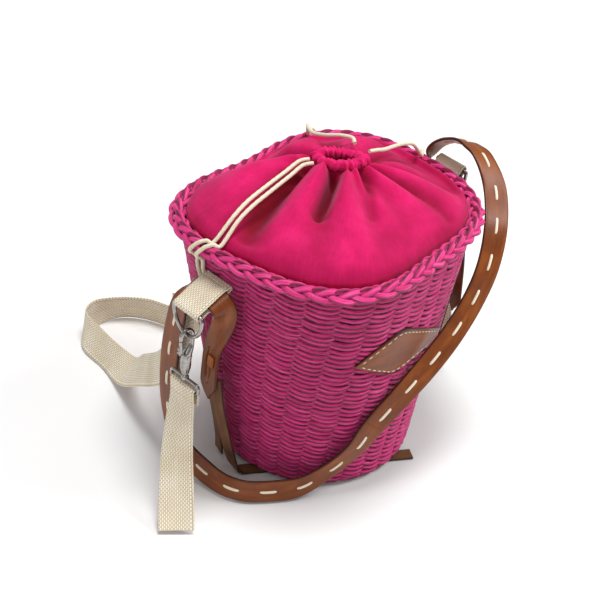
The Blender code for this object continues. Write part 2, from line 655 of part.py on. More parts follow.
def build_clasp(side, root, angle, length, tail, metal, webbing):
    """The D-ring in the loop's fold, the snap hook on it, its gate, its swivel eye and a webbing tail."""
    bar = loop_point(root, angle, length - LOOP_HALF_HEIGHT)
    outward = -1.0 if side == "left" else 1.0
    inward = -outward
    ring_pivot = pivot("d_ring_pivot_" + side, bar)
    tube("d_ring_" + side, ring_route(bar), RING_WIRE, metal, True, parent=ring_pivot)
    bow_z = bar.z - RING_DEPTH
    hook_pivot = pivot("hook_pivot_" + side, (bar.x, 0.0, bow_z))
    spine = hook_route(bar.x, bow_z, inward)
    hook_points = [(x, 0.0, z) for x, z, _ in spine]
    tube("snap_hook_" + side, hook_points, HOOK_ROD, metal, radii=[r for _, _, r in spine], parent=hook_pivot)
    gate_x = bar.x - inward * (HOOK_BEND + 0.0002)
    pin_z = bow_z - 0.0172
    gate_pivot = pivot("gate_pivot_" + side, (gate_x, 0.0, pin_z))
    heights = (pin_z + 0.0014, pin_z + 0.0070, bow_z - 0.0048)
    gate_points = [(gate_x, 0.0, z) for z in heights]
    tube("hook_gate_" + side, gate_points, 0.0014, metal, parent=gate_pivot)
    pin_points = [(gate_x, -0.0032, pin_z), (gate_x, 0.0032, pin_z)]
    tube("gate_pin_" + side, pin_points, 0.0008, metal, parent=hook_pivot)
    foot_z = bow_z - HOOK_LENGTH
    eye_pivot = pivot("swivel_pivot_" + side, (bar.x, 0.0, foot_z))
    bar_z = build_eye("swivel_eye_" + side, bar.x, foot_z, metal, eye_pivot)
    tail_pivot = pivot("tail_pivot_" + side, (bar.x, 0.0, bar_z))
    reach = EYE_BAR + GAP + WEBBING_THICKNESS / 2.0
    route = [(Vector((bar.x + inward * reach, 0.0, bar_z - 0.0140)), Vector((inward, 0.0, 0.0)))]
    for i in range(5):
        turn = math.pi * i / 4
        normal = Vector((inward * math.cos(turn), 0.0, math.sin(turn)))
        corner_share = 1.0 + 0.18 * math.sin(turn * 2.0) ** 2
        route.append((Vector((bar.x, 0.0, bar_z)) + normal * reach * corner_share, normal))
    route += [(Vector((outward * x, y, z)), Vector((outward * nx, ny, nz))) for x, y, z, nx, ny, nz in tail]
    ribbon("webbing_tail_" + side, route, WEBBING_WIDTH, WEBBING_THICKNESS, webbing, 3, parent=tail_pivot)


LEFT_TAIL = [
    (0.1556, -0.0003, 0.0980, 1.00, -0.02, 0.1), (0.1605, -0.0040, 0.0800, 0.98, -0.15, 0.2),
    (0.1690, -0.0130, 0.0540, 0.90, -0.35, 0.3), (0.1805, -0.0285, 0.0250, 0.75, -0.60, 0.3),
    (0.1900, -0.0415, 0.0040, 0.60, -0.80, 0.2),
]
RIGHT_TAIL = [
    (0.1485, 0.0000, 0.1420, 1.0, 0.0, 0.1), (0.1515, 0.0010, 0.1200, 1.0, 0.0, 0.1),
    (0.1570, 0.0020, 0.0900, 1.0, 0.0, 0.15), (0.1620, 0.0030, 0.0600, 1.0, 0.0, 0.1),
    (0.1640, 0.0030, 0.0330, 1.0, 0.0, 0.05),
]
# The crossbody strap: down beside the left clasp, along the table on its edge and up to the right
# clasp. Each point has the direction across the webbing.
CROSSBODY_ROUTE = [
    (Vector((-0.1310, 0.0320, 0.1600)), Vector((0.00, 1.00, 0.00))),
    (Vector((-0.1312, 0.0320, 0.1450)), Vector((0.00, 1.00, 0.00))),
    (Vector((-0.1325, 0.0380, 0.1130)), Vector((0.00, 0.95, 0.30))),
    (Vector((-0.1295, 0.0620, 0.0835)), Vector((0.35, 0.55, 0.76))),
    (Vector((-0.1165, 0.1040, 0.0500)), Vector((0.30, -0.10, 0.95))),
    (Vector((-0.1015, 0.1430, 0.0195)), Vector((0.25, -0.60, 0.75))),
    (Vector((-0.0967, 0.1765, 0.0158)), Vector((0.36, -0.13, 0.92))),
    (Vector((-0.0940, 0.2070, 0.0156)), Vector((0.45, 0.09, 0.88))),
    (Vector((-0.0905, 0.2225, 0.0158)), Vector((0.28, 0.07, 0.95))),
    (Vector((-0.0830, 0.2335, 0.0158)), Vector((0.10, 0.03, 0.99))),
    (Vector((-0.0680, 0.2395, 0.0158)), Vector((-0.15, 0.05, 0.98))),
    (Vector((-0.0503, 0.2376, 0.0158)), Vector((-0.24, -0.09, 0.97))),
    (Vector((-0.0346, 0.2300, 0.0158)), Vector((-0.22, -0.16, 0.97))),
    (Vector((-0.0200, 0.2137, 0.0158)), Vector((-0.15, -0.15, 0.98))),
    (Vector((-0.0105, 0.1920, 0.0158)), Vector((-0.15, -0.10, 0.98))),
    (Vector((0.0050, 0.1730, 0.0158)), Vector((-0.05, -0.10, 0.99))),
    (Vector((0.0350, 0.1590, 0.0158)), Vector((0.00, 0.00, 1.00))),
    (Vector((0.0700, 0.1530, 0.0158)), Vector((0.00, 0.00, 1.00))),
    (Vector((0.1050, 0.1440, 0.0158)), Vector((0.00, 0.00, 1.00))),
    (Vector((0.1350, 0.1230, 0.0162)), Vector((0.00, 0.00, 1.00))),
    (Vector((0.1510, 0.0950, 0.0230)), Vector((0.00, 0.20, 0.98))),
    (Vector((0.1520, 0.0660, 0.0400)), Vector((0.00, 0.50, 0.87))),
    (Vector((0.1450, 0.0380, 0.0680)), Vector((0.00, 0.80, 0.60))),
    (Vector((0.1405, 0.0140, 0.1020)), Vector((0.00, 0.95, 0.31))),
    (Vector((0.1405, 0.0040, 0.1280)), Vector((0.00, 1.00, 0.00))),
]


def build_crossbody(webbing):
    places = [place for place, _ in CROSSBODY_ROUTE]
    last = len(places) - 1
    route = []
    for i, (place, across) in enumerate(CROSSBODY_ROUTE):
        along = places[min(i + 1, last)] - places[max(i - 1, 0)]
        route.append((place, along.cross(across).normalized()))
    ribbon("crossbody_strap", route, WEBBING_WIDTH, WEBBING_THICKNESS, webbing, 3)


def main():
    clear_scene()
    straw = material("pink_straw", (0.60, 0.04, 0.22), 0.65)
    cotton = material("pink_cotton", (0.80, 0.03, 0.25), 0.85)
    cotton_cord = material("cream_cord", (0.74, 0.68, 0.52), 0.90)
    leather = material("tan_leather", (0.24, 0.085, 0.022), 0.40)
    flesh = material("flesh_side_leather", (0.30, 0.20, 0.13), 0.80)
    webbing = material("cream_webbing", (0.78, 0.72, 0.60), 0.90)
    metal = material("polished_nickel", (0.72, 0.71, 0.69), 0.18, 1.0)
    build_basket(straw)
    build_cloth(cotton)
    build_cords(cotton_cord)
    build_leaf(leather)
    build_loop("webbing_loop_left", LEFT_LOOP_ROOT, LEFT_LOOP_ANGLE, LEFT_LOOP_LENGTH, webbing)
    build_loop("webbing_loop_right", RIGHT_LOOP_ROOT, RIGHT_LOOP_ANGLE, RIGHT_LOOP_LENGTH, webbing)
    build_tabs(leather)
    build_small_leather(leather, flesh)
    build_handle(leather)
    build_clasp("left", LEFT_LOOP_ROOT, LEFT_LOOP_ANGLE, LEFT_LOOP_LENGTH, LEFT_TAIL, metal, webbing)
    build_clasp("right", RIGHT_LOOP_ROOT, RIGHT_LOOP_ANGLE, RIGHT_LOOP_LENGTH, RIGHT_TAIL, metal, webbing)
    build_crossbody(webbing)


main()
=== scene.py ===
"""Looks of the straw bucket bag: straw, gathered cotton, stitched leather, webbing and nickel.

Everything is in metres in the frame's own axes: +Z up, the loops on the X axis, -Y the front.
Angles round the basket run from -Y towards +X.
"""

import math
import random

import bpy
import numpy as np
from mathutils import Matrix, Vector


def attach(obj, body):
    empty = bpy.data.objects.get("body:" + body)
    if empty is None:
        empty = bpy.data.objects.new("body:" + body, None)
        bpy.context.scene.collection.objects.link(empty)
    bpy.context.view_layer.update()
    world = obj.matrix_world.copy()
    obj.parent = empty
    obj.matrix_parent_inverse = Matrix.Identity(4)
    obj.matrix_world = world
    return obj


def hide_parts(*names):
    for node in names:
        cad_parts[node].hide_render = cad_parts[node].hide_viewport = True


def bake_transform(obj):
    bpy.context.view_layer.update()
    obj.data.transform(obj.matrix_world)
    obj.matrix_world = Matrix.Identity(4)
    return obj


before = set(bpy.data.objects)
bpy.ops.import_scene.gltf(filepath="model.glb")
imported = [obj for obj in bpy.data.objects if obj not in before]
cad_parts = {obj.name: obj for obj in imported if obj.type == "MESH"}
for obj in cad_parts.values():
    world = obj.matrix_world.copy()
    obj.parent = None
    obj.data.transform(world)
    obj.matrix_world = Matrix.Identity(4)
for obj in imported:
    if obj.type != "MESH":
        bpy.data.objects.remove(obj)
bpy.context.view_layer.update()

# Sizes shared with the CAD model
BASKET_HEIGHT = 0.2327
BASE_RADIUS = 0.0855
MOUTH_RADIUS = 0.1201
MOUTH_WAVES = ((2, -0.0101, -0.0041), (3, 0.0035, -0.0009), (4, -0.0059, -0.0033))
RIM_WIDTH = 0.0110
RIM_HEIGHT = 0.0130
RIM_MIDDLE_Z = BASKET_HEIGHT - RIM_HEIGHT / 2.0
THROAT = Vector((0.0090, 0.0070, 0.2720))
THROAT_RADIUS = 0.0195
CORD_RADIUS = 0.00175
WEBBING_WIDTH = 0.0300
STRAP_WIDTH = 0.0220
STRAP_THICKNESS = 0.0028
LEFT_SEAT = (-0.13550, 0.19751)  # (x, z) of the leather inside each loop
RIGHT_SEAT = (0.13487, 0.21727)
LEFT_BAR = (-0.15332, 0.18843)  # (x, z) of each D-ring's bar
RIGHT_BAR = (0.14477, 0.22717)
RING_DEPTH = 0.0245
RING_WIRE = 0.00175
HOOK_LENGTH = 0.0385
EYE_BAR = 0.0015

# Yarns and threads
YARN_ROW = 0.0025  # the webbing's rows of floats
YARN_FLOAT = 0.0033
COTTON_WAVE = 0.0007  # two threads of the plain-weave cotton
CLOTH_THICKNESS = 0.0008


# ---------------------------------------------------------------- shapes

def mouth_radius(angle):
    radius = MOUTH_RADIUS
    for waves, cosine, sine in MOUTH_WAVES:
        radius = radius + cosine * np.cos(waves * angle) + sine * np.sin(waves * angle)
    return radius


def wall_radius(z, angle):
    return BASE_RADIUS + (mouth_radius(angle) - BASE_RADIUS) * z / BASKET_HEIGHT


def polar(radius, angle, z):
    """Points from cylindrical coordinates; works on numbers and on arrays."""
    x, y, z = np.broadcast_arrays(radius * np.sin(angle), -radius * np.cos(angle), z)
    return np.stack([x, y, z], axis=-1)


def curve_through(points, per_span):
    """Catmull-Rom samples through the points, with per_span samples for each stretch."""
    points = np.asarray(points, float)
    padded = np.vstack([points[0] * 2 - points[1], points, points[-1] * 2 - points[-2]])
    t = np.arange(per_span)[:, None] / per_span
    samples = []
    for i in range(1, len(padded) - 2):
        before, start, end, after = padded[i - 1:i + 3]
        square = (before * 2 - start * 5 + end * 4 - after) * t ** 2
        cubic = (start * 3 - before - end * 3 + after) * t ** 3
        samples.append((start * 2 + (end - before) * t + square + cubic) * 0.5)
    return np.vstack(samples + [points[-1:]])


def unit(vectors):
    return vectors / np.maximum(np.linalg.norm(vectors, axis=-1, keepdims=True), 1e-12)


def smooth_step(low, high, value):
    t = np.clip((value - low) / (high - low), 0.0, 1.0)
    return t * t * (3.0 - 2.0 * t)


class Track:
    """A line with a direction, a face normal and a width direction at every point."""

    def __init__(self, centres, normals):
        self.centres = np.asarray(centres, float)
        self.along = unit(np.gradient(self.centres, axis=0))
        self.across = unit(np.cross(self.along, normals))
        self.face = unit(np.cross(self.across, self.along))
        steps = np.linalg.norm(np.diff(self.centres, axis=0), axis=1)
        self.reach = np.concatenate([[0.0], np.cumsum(steps)])

    @property
    def length(self):
        return self.reach[-1]

    def at(self, reach, aside=0.0, lift=0.0):
        """Points at these distances along, moved aside and off the face."""
        reach = np.asarray(reach, float)
        parts = []
        for k in range(3):
            place = np.interp(reach, self.reach, self.centres[:, k])
            place = place + aside * np.interp(reach, self.reach, self.across[:, k])
            parts.append(place + lift * np.interp(reach, self.reach, self.face[:, k]))
        return np.stack(parts, axis=-1)

    def beside(self, reach, aside, lift):
        """A track that follows this one, aside and off its face."""
        places = self.at(reach, aside, lift)
        return Track(places, unit(self.at(reach, aside, 1.0) - places))

    def part(self, first, last):
        piece = Track.__new__(Track)
        for name in ("centres", "along", "across", "face", "reach"):
            setattr(piece, name, getattr(self, name)[first:last])
        return piece


def plain_track(points, normal):
    """A track that faces one way all along."""
    return Track(points, np.tile(normal, (len(points), 1)))


def closed_track(points, normal):
    """A plain track round a closed loop, without a kink where its ends meet."""
    track = plain_track(points, normal)
    track.along[0] = track.along[-1] = unit(track.along[0] + track.along[-1])
    track.across = unit(np.cross(track.along, np.tile(normal, (len(points), 1))))
    return track


def strap_track(route, spacing=0.0012):
    """A track through (place, normal) pairs, evenly sampled."""
    rough = 12
    places = curve_through([place for place, _ in route], rough)
    normals = curve_through([normal for _, normal in route], rough)
    reach = np.concatenate([[0.0], np.cumsum(np.linalg.norm(np.diff(places, axis=0), axis=1))])
    count = max(8, int(reach[-1] / spacing))
    even = np.linspace(0.0, reach[-1], count)
    centres = np.stack([np.interp(even, reach, places[:, k]) for k in range(3)], axis=-1)
    faces = np.stack([np.interp(even, reach, normals[:, k]) for k in range(3)], axis=-1)
    return Track(centres, faces)


def cord_track(points):
    """A track along a bare line, its normals carried on without twisting."""
    points = np.asarray(points, float)
    along = unit(np.gradient(points, axis=0))
    normal = unit(np.cross(along[0], (0.31, 0.57, 0.76)))
    normals = []
    for direction in along:
        normal = unit(normal - direction * np.dot(normal, direction))
        normals.append(normal)
    return Track(points, np.array(normals))


def linked(name, data):
    """A new object in the scene."""
    made = bpy.data.objects.new(name, data)
    bpy.context.scene.collection.objects.link(made)
    return made


class Shape:
    """Collects skinned grids into one mesh with UVs in metres and a value per point that holds
    burnished leather edges and painted shade.
    """

    def __init__(self):
        self.points = []
        self.edges = []
        self.faces = []
        self.uvs = []
        self.slots = []
        self.count = 0

    def grid(self, rows, along, around, slot=0, caps=True, edge=None):
        """Rows of rings: rows is (n, m, 3), closed round each ring; around has m + 1 values."""
        rows = np.asarray(rows, float)
        n, m = rows.shape[:2]
        base = self.count
        self.points.append(rows.reshape(-1, 3))
        self.edges.append(np.zeros(n * m) if edge is None else np.asarray(edge, float).reshape(-1))
        self.count += n * m
        i, j = np.meshgrid(np.arange(n - 1), np.arange(m), indexing="ij")
        beside = (j + 1) % m
        here, beyond = i * m, (i + 1) * m
        quads = np.stack([here + j, here + beside, beyond + beside, beyond + j], axis=-1)
        self.faces.append((quads.reshape(-1, 4) + base).tolist())
        u = np.stack([around[j], around[j + 1], around[j + 1], around[j]], axis=-1)
        v = np.stack([along[i], along[i], along[i + 1], along[i + 1]], axis=-1)
        self.uvs.append(np.stack([u, v], axis=-1).reshape(-1, 2))
        self.slots += [slot] * (n - 1) * m
        if caps:
            first = (np.arange(m)[::-1] + base).tolist()
            last = (np.arange(m) + base + (n - 1) * m).tolist()
            self.faces.append([first, last])
            self.uvs.append(np.stack([around[:m][::-1], np.full(m, along[0])], axis=-1))
            self.uvs.append(np.stack([around[:m], np.full(m, along[-1])], axis=-1))
            self.slots += [slot, slot]

    def tube(self, track, radii, sides=10, slot=0, flat=1.0, shape=None, shift=0.0, caps=True,
             shaded=0.0):
        """A round bar along a track: flat squashes it, shape(along, turn) roughens it, shaded
        paints shade on its sides.
        """
        turn = 2.0 * np.pi * np.arange(sides) / sides
        radii = np.broadcast_to(np.asarray(radii, float), (len(track.centres),))[:, None]
        if shape is not None:
            radii = radii * shape(track.reach[:, None], turn[None, :])
        aside = (radii * np.cos(turn))[..., None] * track.across[:, None, :]
        lift = (radii * np.sin(turn) * flat)[..., None] * track.face[:, None, :]
        rows = track.centres[:, None, :] + aside + lift
        around = np.arange(sides + 1) / sides * float(np.mean(radii)) * 2.0 * np.pi + shift
        edge = np.broadcast_to(np.abs(np.cos(turn)) * shaded, rows.shape[:2])
        self.grid(rows, track.reach + shift, around, slot, caps, edge)

    def band(self, track, width, thickness, across=8, relief=None, shares=None):
        """A flat strap with rounded edges; relief(along, aside) lifts its two faces."""
        half = thickness / 2.0
        flat = np.linspace(-1.0, 1.0, across + 1)
        bend = np.radians((60.0, 25.0, -25.0, -60.0))
        spread = np.concatenate([flat, np.full(4, 1.0), flat[::-1], np.full(4, -1.0)])
        level = np.ones(across + 1)
        out = np.concatenate([level * 0.0, np.cos(bend), level * 0.0, -np.cos(bend)])
        up = np.concatenate([level, np.sin(bend), -level, -np.sin(bend)])
        widths = np.full(len(track.centres), width)
        if shares is not None:
            widths = widths * np.asarray(shares)
        core = np.maximum(widths / 2.0 - half, 0.0002)[:, None]
        aside = spread[None, :] * core + out[None, :] * half
        lift = np.broadcast_to(up[None, :] * half, aside.shape).copy()
        if relief is not None:
            faces = np.sign(up)[None, :] * (np.abs(up) > 0.99)
            lift = lift + relief(track.reach[:, None], aside) * faces
        rows = track.centres[:, None, :] + aside[..., None] * track.across[:, None, :]
        rows = rows + lift[..., None] * track.face[:, None, :]
        steps = np.concatenate([np.abs(np.diff(np.mean(aside, axis=0))), [0.001]]) + 0.0004
        around = np.concatenate([[0.0], np.cumsum(steps)])
        edge = np.abs(aside) / (widths[:, None] / 2.0)
        self.grid(rows[:, ::-1], track.reach, around, edge=edge[:, ::-1])

    def stitch(self, track, start, length, lift, radius):
        """One visible thread stitch, its ends sunk into the surface."""
        share = np.linspace(0.0, 1.0, 11)
        reach = start + share * length
        sink = np.abs(share * 2.0 - 1.0) ** 6
        places = track.at(reach)
        face = unit(track.at(reach, lift=1.0) - places)
        places = places + face * (lift + radius * 0.25 - sink[:, None] * radius * 1.5)
        self.tube(Track(places, face), radius * (1.0 - 0.45 * sink), 8, 1, 0.75, shift=start)

    def made(self, name, materials):
        """The object; its rounded faces are shaded smooth and its end caps flat."""
        mesh = bpy.data.meshes.new(name)
        faces = [face for group in self.faces for face in group]
        mesh.from_pydata(np.concatenate(self.points).tolist(), [], faces)
        layer = mesh.uv_layers.new(name="metres")
        layer.data.foreach_set("uv", np.concatenate(self.uvs).astype(np.float32).ravel())
        wear_and_shade_values = mesh.attributes.new("edge", "FLOAT", "POINT")
        wear_and_shade_values.data.foreach_set("value", np.concatenate(self.edges).astype(np.float32))
        for finish in materials:
            mesh.materials.append(finish)
        mesh.polygons.foreach_set("material_index", np.array(self.slots, np.int32))
        mesh.polygons.foreach_set("use_smooth", [len(face) == 4 for face in faces])
        mesh.update()
        return linked(name, mesh)


def placed(piece, body, material_slot, *nodes):
    """The piece rides on its body and stands for these CAD nodes; its material_slot argument is not
    used.
    """
    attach(piece, body)
    if nodes:
        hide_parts(*nodes)
    return piece


def thickened(piece):
    """Cloth has two sides."""
    piece.modifiers.new("cloth", "SOLIDIFY").thickness = CLOTH_THICKNESS


# ---------------------------------------------------------------- materials

def tone(red, green, blue):
    """A linear colour from the 0 to 255 values seen on a screen."""
    def linear(value):
        value = value / 255.0
        return value / 12.92 if value <= 0.04045 else ((value + 0.055) / 1.055) ** 2.4
    return (linear(red), linear(green), linear(blue), 1.0)


class Finish:
    """A Principled material with short helpers for its texture nodes."""

    def __init__(self, name, **sockets):
        self.made = bpy.data.materials.new(name)
        self.made.use_nodes = True
        self.tree = self.made.node_tree
        self.shader = self.tree.nodes["Principled BSDF"]
        for socket, value in sockets.items():
            self.shader.inputs[socket.replace("_", " ")].default_value = value

    def node(self, kind, inputs=None, **settings):
        made = self.tree.nodes.new(kind)
        for key, value in settings.items():
            setattr(made, key, value)
        for key, value in (inputs or {}).items():
            if isinstance(value, bpy.types.NodeSocket):
                self.tree.links.new(value, made.inputs[key])
            else:
                made.inputs[key].default_value = value
        return made

    def place(self, scale, kind="UV"):
        coordinates = self.node("ShaderNodeTexCoord").outputs[kind]
        return self.node("ShaderNodeMapping", {"Vector": coordinates, "Scale": scale}).outputs[0]

    def noise(self, scale, detail=3.0, roughness=0.55, kind="UV"):
        """Noise with this many waves to the metre along each axis."""
        inputs = {"Vector": self.place(scale, kind), "Scale": 1.0, "Detail": detail,
                  "Roughness": roughness}
        return self.node("ShaderNodeTexNoise", inputs).outputs["Fac"]

    def edge(self):
        """The mesh's per-point value: burnished edges on leather, painted shade on straw and the
        collar.
        """
        return self.node("ShaderNodeAttribute", attribute_name="edge").outputs["Fac"]

    def ramp(self, factor, stops):
        made = self.node("ShaderNodeValToRGB", {"Fac": factor})
        band = made.color_ramp
        while len(band.elements) < len(stops):
            band.elements.new(0.5)
        for element, (place, colour) in zip(band.elements, stops):
            element.position = place
            element.color = colour
        return made.outputs["Color"]

    def math(self, operation, first, second=0.0):
        return self.node("ShaderNodeMath", {0: first, 1: second}, operation=operation).outputs[0]

    def blended(self, factor, first, second, kind="MIX"):
        made = self.node("ShaderNodeMix", data_type="RGBA", blend_type=kind)
        for index, value in ((0, factor), (6, first), (7, second)):
            if isinstance(value, bpy.types.NodeSocket):
                self.tree.links.new(value, made.inputs[index])
            else:
                made.inputs[index].default_value = value
        return made.outputs[2]

    def bump(self, height, strength, distance, over=None):
        inputs = {"Height": height, "Strength": strength, "Distance": distance}
        if over is not None:
            inputs["Normal"] = over
        return self.node("ShaderNodeBump", inputs).outputs["Normal"]

    def gloss(self, value, low, high):
        spread = self.node("ShaderNodeMapRange", {"Value": value, "To Min": low, "To Max": high})
        self.link(spread.outputs[0], "Roughness")

    def link(self, output, socket):
        self.tree.links.new(output, self.shader.inputs[socket])


WHITE = tone(255, 255, 255)


def straw_finish():
    made = Finish("pink_straw_finish", Roughness=0.62, Sheen_Weight=0.08, Specular_IOR_Level=0.35)
    fibres = made.noise((900.0, 40.0, 1.0), 4.0, 0.6)
    patches = made.noise((60.0, 45.0, 1.0), 2.0)
    light = made.ramp(fibres, [(0.28, tone(184, 20, 100)), (0.5, tone(238, 50, 140)),
                               (0.74, tone(254, 116, 184))])
    dark = made.ramp(patches, [(0.3, tone(216, 176, 196)), (0.7, WHITE)])
    # painted shade: the lower side of each straw run and the sides of the rim's strands are
    # darkened here
    shade = made.ramp(made.edge(), [(0.34, WHITE), (0.76, tone(92, 26, 58))])
    colour = made.blended(0.8, light, dark, "MULTIPLY")
    made.link(made.blended(1.0, colour, shade, "MULTIPLY"), "Base Color")
    lumps = made.noise((420.0, 190.0, 1.0), 2.0)
    coarse = made.bump(lumps, 0.8, 0.0012)
    made.link(made.bump(fibres, 0.8, 0.0008, coarse), "Normal")
    return made.made


def painted_shade_finish():
    made = Finish("straw_painted_shade_finish", Roughness=0.9, Specular_IOR_Level=0.1)
    # painted shade: near-black magenta standing in for the shadow between and behind the straw runs
    spots = made.noise((300.0, 300.0, 300.0), kind="Object")
    made.link(made.ramp(spots, [(0.3, tone(40, 0, 18)), (0.7, tone(70, 0, 34))]), "Base Color")
    return made.made


def cotton_finish(name, low, middle, high, folded=False):
    """Plain-weave cotton: threads about 0.35 mm apart, from the piece's own UVs in metres."""
    made = Finish(name, Roughness=0.88, Sheen_Weight=0.28, Sheen_Roughness=0.45,
                  Specular_IOR_Level=0.18)
    made.shader.inputs["Sheen Tint"].default_value = tone(255, 150, 200)
    parts = made.node("ShaderNodeSeparateXYZ", {"Vector": made.place((1.0, 1.0, 1.0))})
    per_metre = 2.0 * math.pi / COTTON_WAVE
    warp = made.math("SINE", made.math("MULTIPLY", parts.outputs[0], per_metre))
    weft = made.math("SINE", made.math("MULTIPLY", parts.outputs[1], per_metre))
    weave = made.math("MULTIPLY", warp, weft)
    slub = made.noise((700.0, 110.0, 1.0), 4.0)
    cloud = made.noise((45.0, 45.0, 45.0), 3.0, kind="Object")
    base = made.ramp(cloud, [(0.3, low), (0.5, middle), (0.72, high)])
    threads = made.ramp(slub, [(0.3, tone(236, 236, 236)), (0.7, WHITE)])
    colour = made.blended(1.0, base, threads, "MULTIPLY")
    # painted shade and light: fold valleys darkened, ridges left lighter, from the fold height
    # stored per point
    if folded:
        shades = made.ramp(made.edge(), [(0.0, tone(150, 60, 84)), (0.45, tone(216, 196, 206)),
                                         (0.75, WHITE)])
        colour = made.blended(1.0, colour, shades, "MULTIPLY")
    made.link(colour, "Base Color")
    fine = made.bump(weave, 0.25, 0.00012)
    made.link(made.bump(slub, 0.25, 0.0003, fine), "Normal")
    return made.made


def webbing_finish():
    """Cotton webbing: rows of raised yarn floats, each next row shifted by half a float."""
    made = Finish("cream_webbing_finish", Roughness=0.92, Sheen_Weight=0.15,
                  Specular_IOR_Level=0.15)
    parts = made.node("ShaderNodeSeparateXYZ", {"Vector": made.place((1.0, 1.0, 1.0))})
    rows = made.math("MULTIPLY", parts.outputs[0], 1.0 / YARN_ROW)
    odd = made.math("MULTIPLY", made.math("MODULO", made.math("FLOOR", rows), 2.0), 0.5)
    floats = made.math("ADD", made.math("MULTIPLY", parts.outputs[1], 1.0 / YARN_FLOAT), odd)
    ridge = made.math("ABSOLUTE", made.math("SINE", made.math("MULTIPLY", rows, math.pi)))
    bead = made.math("ABSOLUTE", made.math("SINE", made.math("MULTIPLY", floats, math.pi)))
    weave = made.math("MULTIPLY", made.math("POWER", ridge, 0.6), made.math("POWER", bead, 0.6))
    fibres = made.noise((1500.0, 900.0, 1.0), 3.0)
    stains = made.noise((40.0, 40.0, 40.0), 3.0, kind="Object")
    # painted shade and highlight: the gaps between the yarn floats darker, the float tops lighter
    light = made.ramp(weave, [(0.10, tone(166, 150, 120)), (0.50, tone(232, 221, 198)),
                              (0.9, tone(250, 243, 228))])
    soft = made.ramp(stains, [(0.3, tone(240, 234, 224)), (0.7, WHITE)])
    made.link(made.blended(1.0, light, soft, "MULTIPLY"), "Base Color")
    fine = made.bump(fibres, 0.4, 0.0003)
    made.link(made.bump(weave, 0.6, 0.0004, fine), "Normal")
    return made.made


def cord_finish(name, low, high):
    made = Finish(name, Roughness=0.9, Sheen_Weight=0.2, Specular_IOR_Level=0.15)
    fibres = made.noise((2600.0, 700.0, 1.0), 3.0)
    made.link(made.ramp(fibres, [(0.25, low), (0.7, high)]), "Base Color")
    made.link(made.bump(fibres, 0.6, 0.0002), "Normal")
    return made.made


def leather_finish(name, dark, middle, light, roughness, grain):
    """Smooth grained leather, its cut edges burnished darker."""
    made = Finish(name, Specular_IOR_Level=0.34, Coat_Weight=0.05, Coat_Roughness=0.30)
    clouds = made.noise((120.0, 28.0, 1.0), 5.0, 0.6)
    base = made.ramp(clouds, [(0.28, dark), (0.5, middle), (0.75, light)])
    rim = made.ramp(made.edge(), [(0.86, WHITE), (0.97, tone(128, 92, 70))])
    made.link(made.blended(0.9, base, rim, "MULTIPLY"), "Base Color")
    where = {"Vector": made.place((1.0, 1.0, 1.0)), "Scale": 1500.0}
    cells = made.node("ShaderNodeTexVoronoi", where, feature="SMOOTH_F1").outputs["Distance"]
    pores = made.bump(cells, grain, 0.00025)
    creases = made.noise((500.0, 160.0, 1.0), 4.0)
    made.link(made.bump(creases, grain, 0.0005, pores), "Normal")
    made.gloss(clouds, roughness - 0.07, roughness + 0.1)
    return made.made


def metal_finish():
    made = Finish("polished_nickel_finish", Metallic=1.0)
    spots = made.noise((350.0, 350.0, 350.0), 4.0, kind="Object")
    grey = made.ramp(spots, [(0.3, tone(138, 134, 131)), (0.7, tone(176, 172, 168))])
    made.link(grey, "Base Color")
    made.gloss(spots, 0.08, 0.20)
    scratches = made.noise((4000.0, 300.0, 900.0), 2.0, kind="Object")
    made.link(made.bump(scratches, 0.04, 0.0001), "Normal")
    return made.made


def floor_finish():
    made = Finish("pale_floor_finish", Roughness=0.9, Specular_IOR_Level=0.1)
    spots = made.noise((3.0, 3.0, 3.0), 2.0, kind="Object")
    pale = made.ramp(spots, [(0.3, (0.90, 0.90, 0.90, 1.0)), (0.7, (0.92, 0.92, 0.92, 1.0))])
    made.link(pale, "Base Color")
    return made.made


STRAW = straw_finish()
PAINTED_SHADE = painted_shade_finish()
COLLAR = cotton_finish("pink_collar_finish", tone(200, 16, 88), tone(212, 21, 97),
                       tone(224, 29, 107), True)
COTTON = cotton_finish("pink_cotton_finish", tone(214, 20, 98), tone(222, 24, 104),
                       tone(230, 30, 112))
LINING = cotton_finish("pink_lining_finish", tone(176, 16, 84), tone(196, 22, 96),
                       tone(210, 30, 106))
CORD = cord_finish("cream_cord_finish", tone(206, 194, 164), tone(238, 230, 208))
THREAD = cord_finish("cream_thread_finish", tone(222, 208, 180), tone(247, 239, 220))
WEBBING = webbing_finish()
LEATHER = leather_finish("tan_leather_finish", tone(96, 44, 6), tone(122, 58, 10),
                         tone(148, 80, 20), 0.36, 0.22)
FLESH = leather_finish("flesh_side_finish", tone(88, 56, 34), tone(112, 74, 46),
                       tone(138, 96, 62), 0.72, 0.5)
TONGUE = leather_finish("tongue_leather_finish", tone(140, 74, 22), tone(168, 92, 30),
                        tone(190, 112, 44), 0.45, 0.2)
NICKEL = metal_finish()
FLOOR = floor_finish()


# ---------------------------------------------------------------- camera, floor and light

CAMERA_AZIMUTH = math.radians(-45.0)
CAMERA_ELEVATION = 0.5888
CAMERA_ROLL = 0.0934
CAMERA_DISTANCE = 1.45
CAMERA_TARGET = Vector((-0.01464, 0.01464, 0.1350))
LENS_MM = 100.4
SENSOR_MM = 36.0
LIGHT_TARGET = Vector((0.0, 0.0, 0.14))
FLOOR_HALF = 6.0
SKY_STRENGTH = 0.42


